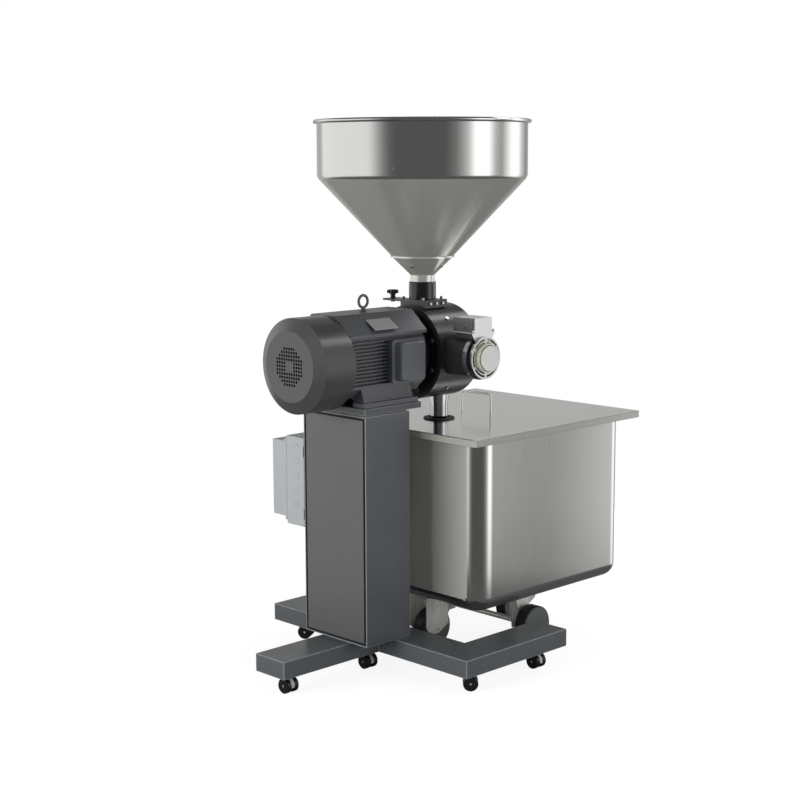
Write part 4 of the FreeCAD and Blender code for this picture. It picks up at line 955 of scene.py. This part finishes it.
@dataclass
class FeedLine:
    """Feed pipe, collar, hopper and spout."""

    shop: Workshop
    cone_below_z: float = 1640.0

    def on_cone(self, middle: Vector, normal: Vector) -> bool:
        """Tell whether a face of the hopper is on its cone, which gets the lighter copy of the
        steel as painted light.
        """
        return abs(normal.z) > 0.5 and middle.z < self.cone_below_z

    def build(self) -> None:
        """Dress the feed line."""
        self.shop.refine("feed_pipe", Finishes.PIPE, bevel_mm=0.8)
        # The collar and the hopper's cone take the lighter, half-matt copy of the steel: painted
        # light.
        self.shop.refine("hopper_collar", Finishes.CONE_LIT_COPY, bevel_mm=0.0)
        self.shop.refine("hopper", Finishes.HOPPER, bevel_mm=0.0,
                         patches=(Patch(Finishes.CONE_LIT_COPY, self.on_cone),))
        self.shop.refine("spout", Finishes.SPOUT, bevel_mm=0.0)


@dataclass
class ControlBox:
    """The control box with its two buttons."""

    shop: Workshop
    side_x: float = -400.0
    knockout_y: float = 205.0
    knockout_z: float = 648.0
    knockout_pitch: float = 49.8
    knockouts: int = 5
    # Profiles of a knockout's rim and of a button's collar: place along the axis, radius.
    rim: tuple[tuple[float, float], ...] = ((0.6, 10.5), (-0.7, 10.8), (-0.7, 12.6), (0.6, 12.9))
    collar: tuple[tuple[float, float], ...] = (
        (-0.6, 14.7), (2.2, 14.9), (2.6, 15.3), (2.6, 17.8), (2.0, 18.6), (-0.6, 18.8))
    button_x: float = -307.5
    button_z: tuple[float, float] = (663.5, 593.5)
    cover_front_y: float = 333.0

    def build(self) -> None:
        """Dress the control box."""
        self.shop.refine("box_base", Finishes.BOX, bevel_mm=2.0)
        self.shop.refine("box_cover", Finishes.BOX, bevel_mm=2.0)
        self.shop.refine("start_button", Finishes.GREEN, bevel_mm=0.8)
        self.shop.refine("stop_button", Finishes.RED, bevel_mm=0.8)
        for number in range(self.knockouts):
            z = self.knockout_z + (number - self.knockouts // 2) * self.knockout_pitch
            centre = Vector((self.side_x, self.knockout_y, z)) * MM
            ring = lathe(self.rim, centre, Axis.X, 40, closed=True)
            self.shop.finish(ring, f"box_knockout_{number + 1}", "box_base", Finishes.BOX,
                             bevel_mm=0.0, stands_for=False)
        for name, z in zip(("start", "stop"), self.button_z):
            centre = Vector((self.button_x, self.cover_front_y, z)) * MM
            ring = lathe(self.collar, centre, Axis.Y, 48, closed=True)
            self.shop.finish(ring, name + "_button_collar", "box_cover", Finishes.BRIGHT,
                             bevel_mm=0.0, stands_for=False)


@dataclass
class Trolley:
    """The lidded tub on its four wheels."""

    shop: Workshop
    wheel_radius: float = 70.0
    tread: float = 3.0
    end_below_z: float = 780.0
    # Each wheel's place along the trolley.
    wheel_x: tuple[tuple[str, float], ...] = (
        ("right", 312.0), ("left", 312.0), ("front", 46.0), ("rear", 474.0))

    def on_end(self, middle: Vector, normal: Vector) -> bool:
        """Tell whether a face of the tub is on the sheet that faces the column, which gets painted
        light.
        """
        return normal.x < -0.985 and middle.z < self.end_below_z

    def on_skirt_end(self, middle: Vector, normal: Vector) -> bool:
        """Tell whether a face of the lid's skirt faces the column, where it gets the same painted
        light.
        """
        return normal.x < -0.9

    def on_web(self, middle: Vector, normal: Vector) -> bool:
        """Tell whether a face of a swivel fork is on its web."""
        return abs(normal.x) > 0.8

    def build(self) -> None:
        """Dress the trolley."""
        # The tub's end towards the column takes the lighter, half-matt copy of its steel: painted
        # light.
        self.shop.refine("tub", Finishes.TUB, crease=40.0, bevel_mm=0.0,
                         patches=(Patch(Finishes.TUB_END_LIT_COPY, self.on_end),))
        self.shop.refine("lid", Finishes.LID, bevel_mm=0.8)
        # The skirt's end towards the column takes the same painted light.
        self.shop.refine("lid_skirt", Finishes.TUB, bevel_mm=1.2,
                         patches=(Patch(Finishes.TUB_END_LIT_COPY, self.on_skirt_end),))
        self.shop.refine("lid_grip", Finishes.FORK, crease=60.0, bevel_mm=0.0)
        self.shop.refine("push_bar", Finishes.FORK, crease=60.0, bevel_mm=0.0)
        self.shop.refine("spout_ring", Finishes.RUBBER, bevel_mm=0.0)
        self.shop.refine("axle_rod", Finishes.FORK, bevel_mm=0.0)
        self.shop.refine("fixed_forks", Finishes.FORK, bevel_mm=0.6)
        for place in ("front", "rear"):
            self.shop.refine(place + "_fork", Finishes.FORK, bevel_mm=0.6,
                             patches=(Patch(Finishes.PLATE, self.on_web),))
        for place, x in self.wheel_x:
            self.shop.refine(place + "_roller", Finishes.TYRE, bevel_mm=0.0,
                             patches=(Patch(Finishes.WHEEL_FACE, self.on_side(x)),))

    def on_side(self, x: float) -> Callable[[Vector, Vector], bool]:
        """Give the test for the flat sides of a wheel.

        Args:
            x: The place of the wheel's axle.

        Returns:
            The test for a face's middle and normal.
        """
        def holds(middle: Vector, normal: Vector) -> bool:
            """Tell whether a face lies inside the tread."""
            reach = math.hypot(middle.x - x, middle.z - self.wheel_radius)
            return abs(normal.y) > 0.5 and reach < self.wheel_radius - self.tread
        return holds


def main() -> None:
    """Load the frame, build the studio and dress every sub-assembly."""
    logging.basicConfig(level=logging.INFO, format="%(name)s: %(message)s")
    for old in list(bpy.data.objects):
        bpy.data.objects.remove(old)
    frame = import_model()
    bpy.context.scene.view_settings.view_transform = "Standard"
    shop = Workshop(frame)
    Studio().build()
    for unit in (Stand(shop), MotorUnit(shop), GrindingHead(shop), FeedLine(shop),
                 ControlBox(shop), Trolley(shop)):
        unit.build()
    log.info("%d pieces", len(shop.made))
    bpy.context.view_layer.update()


if __name__ == "__main__":
    main()
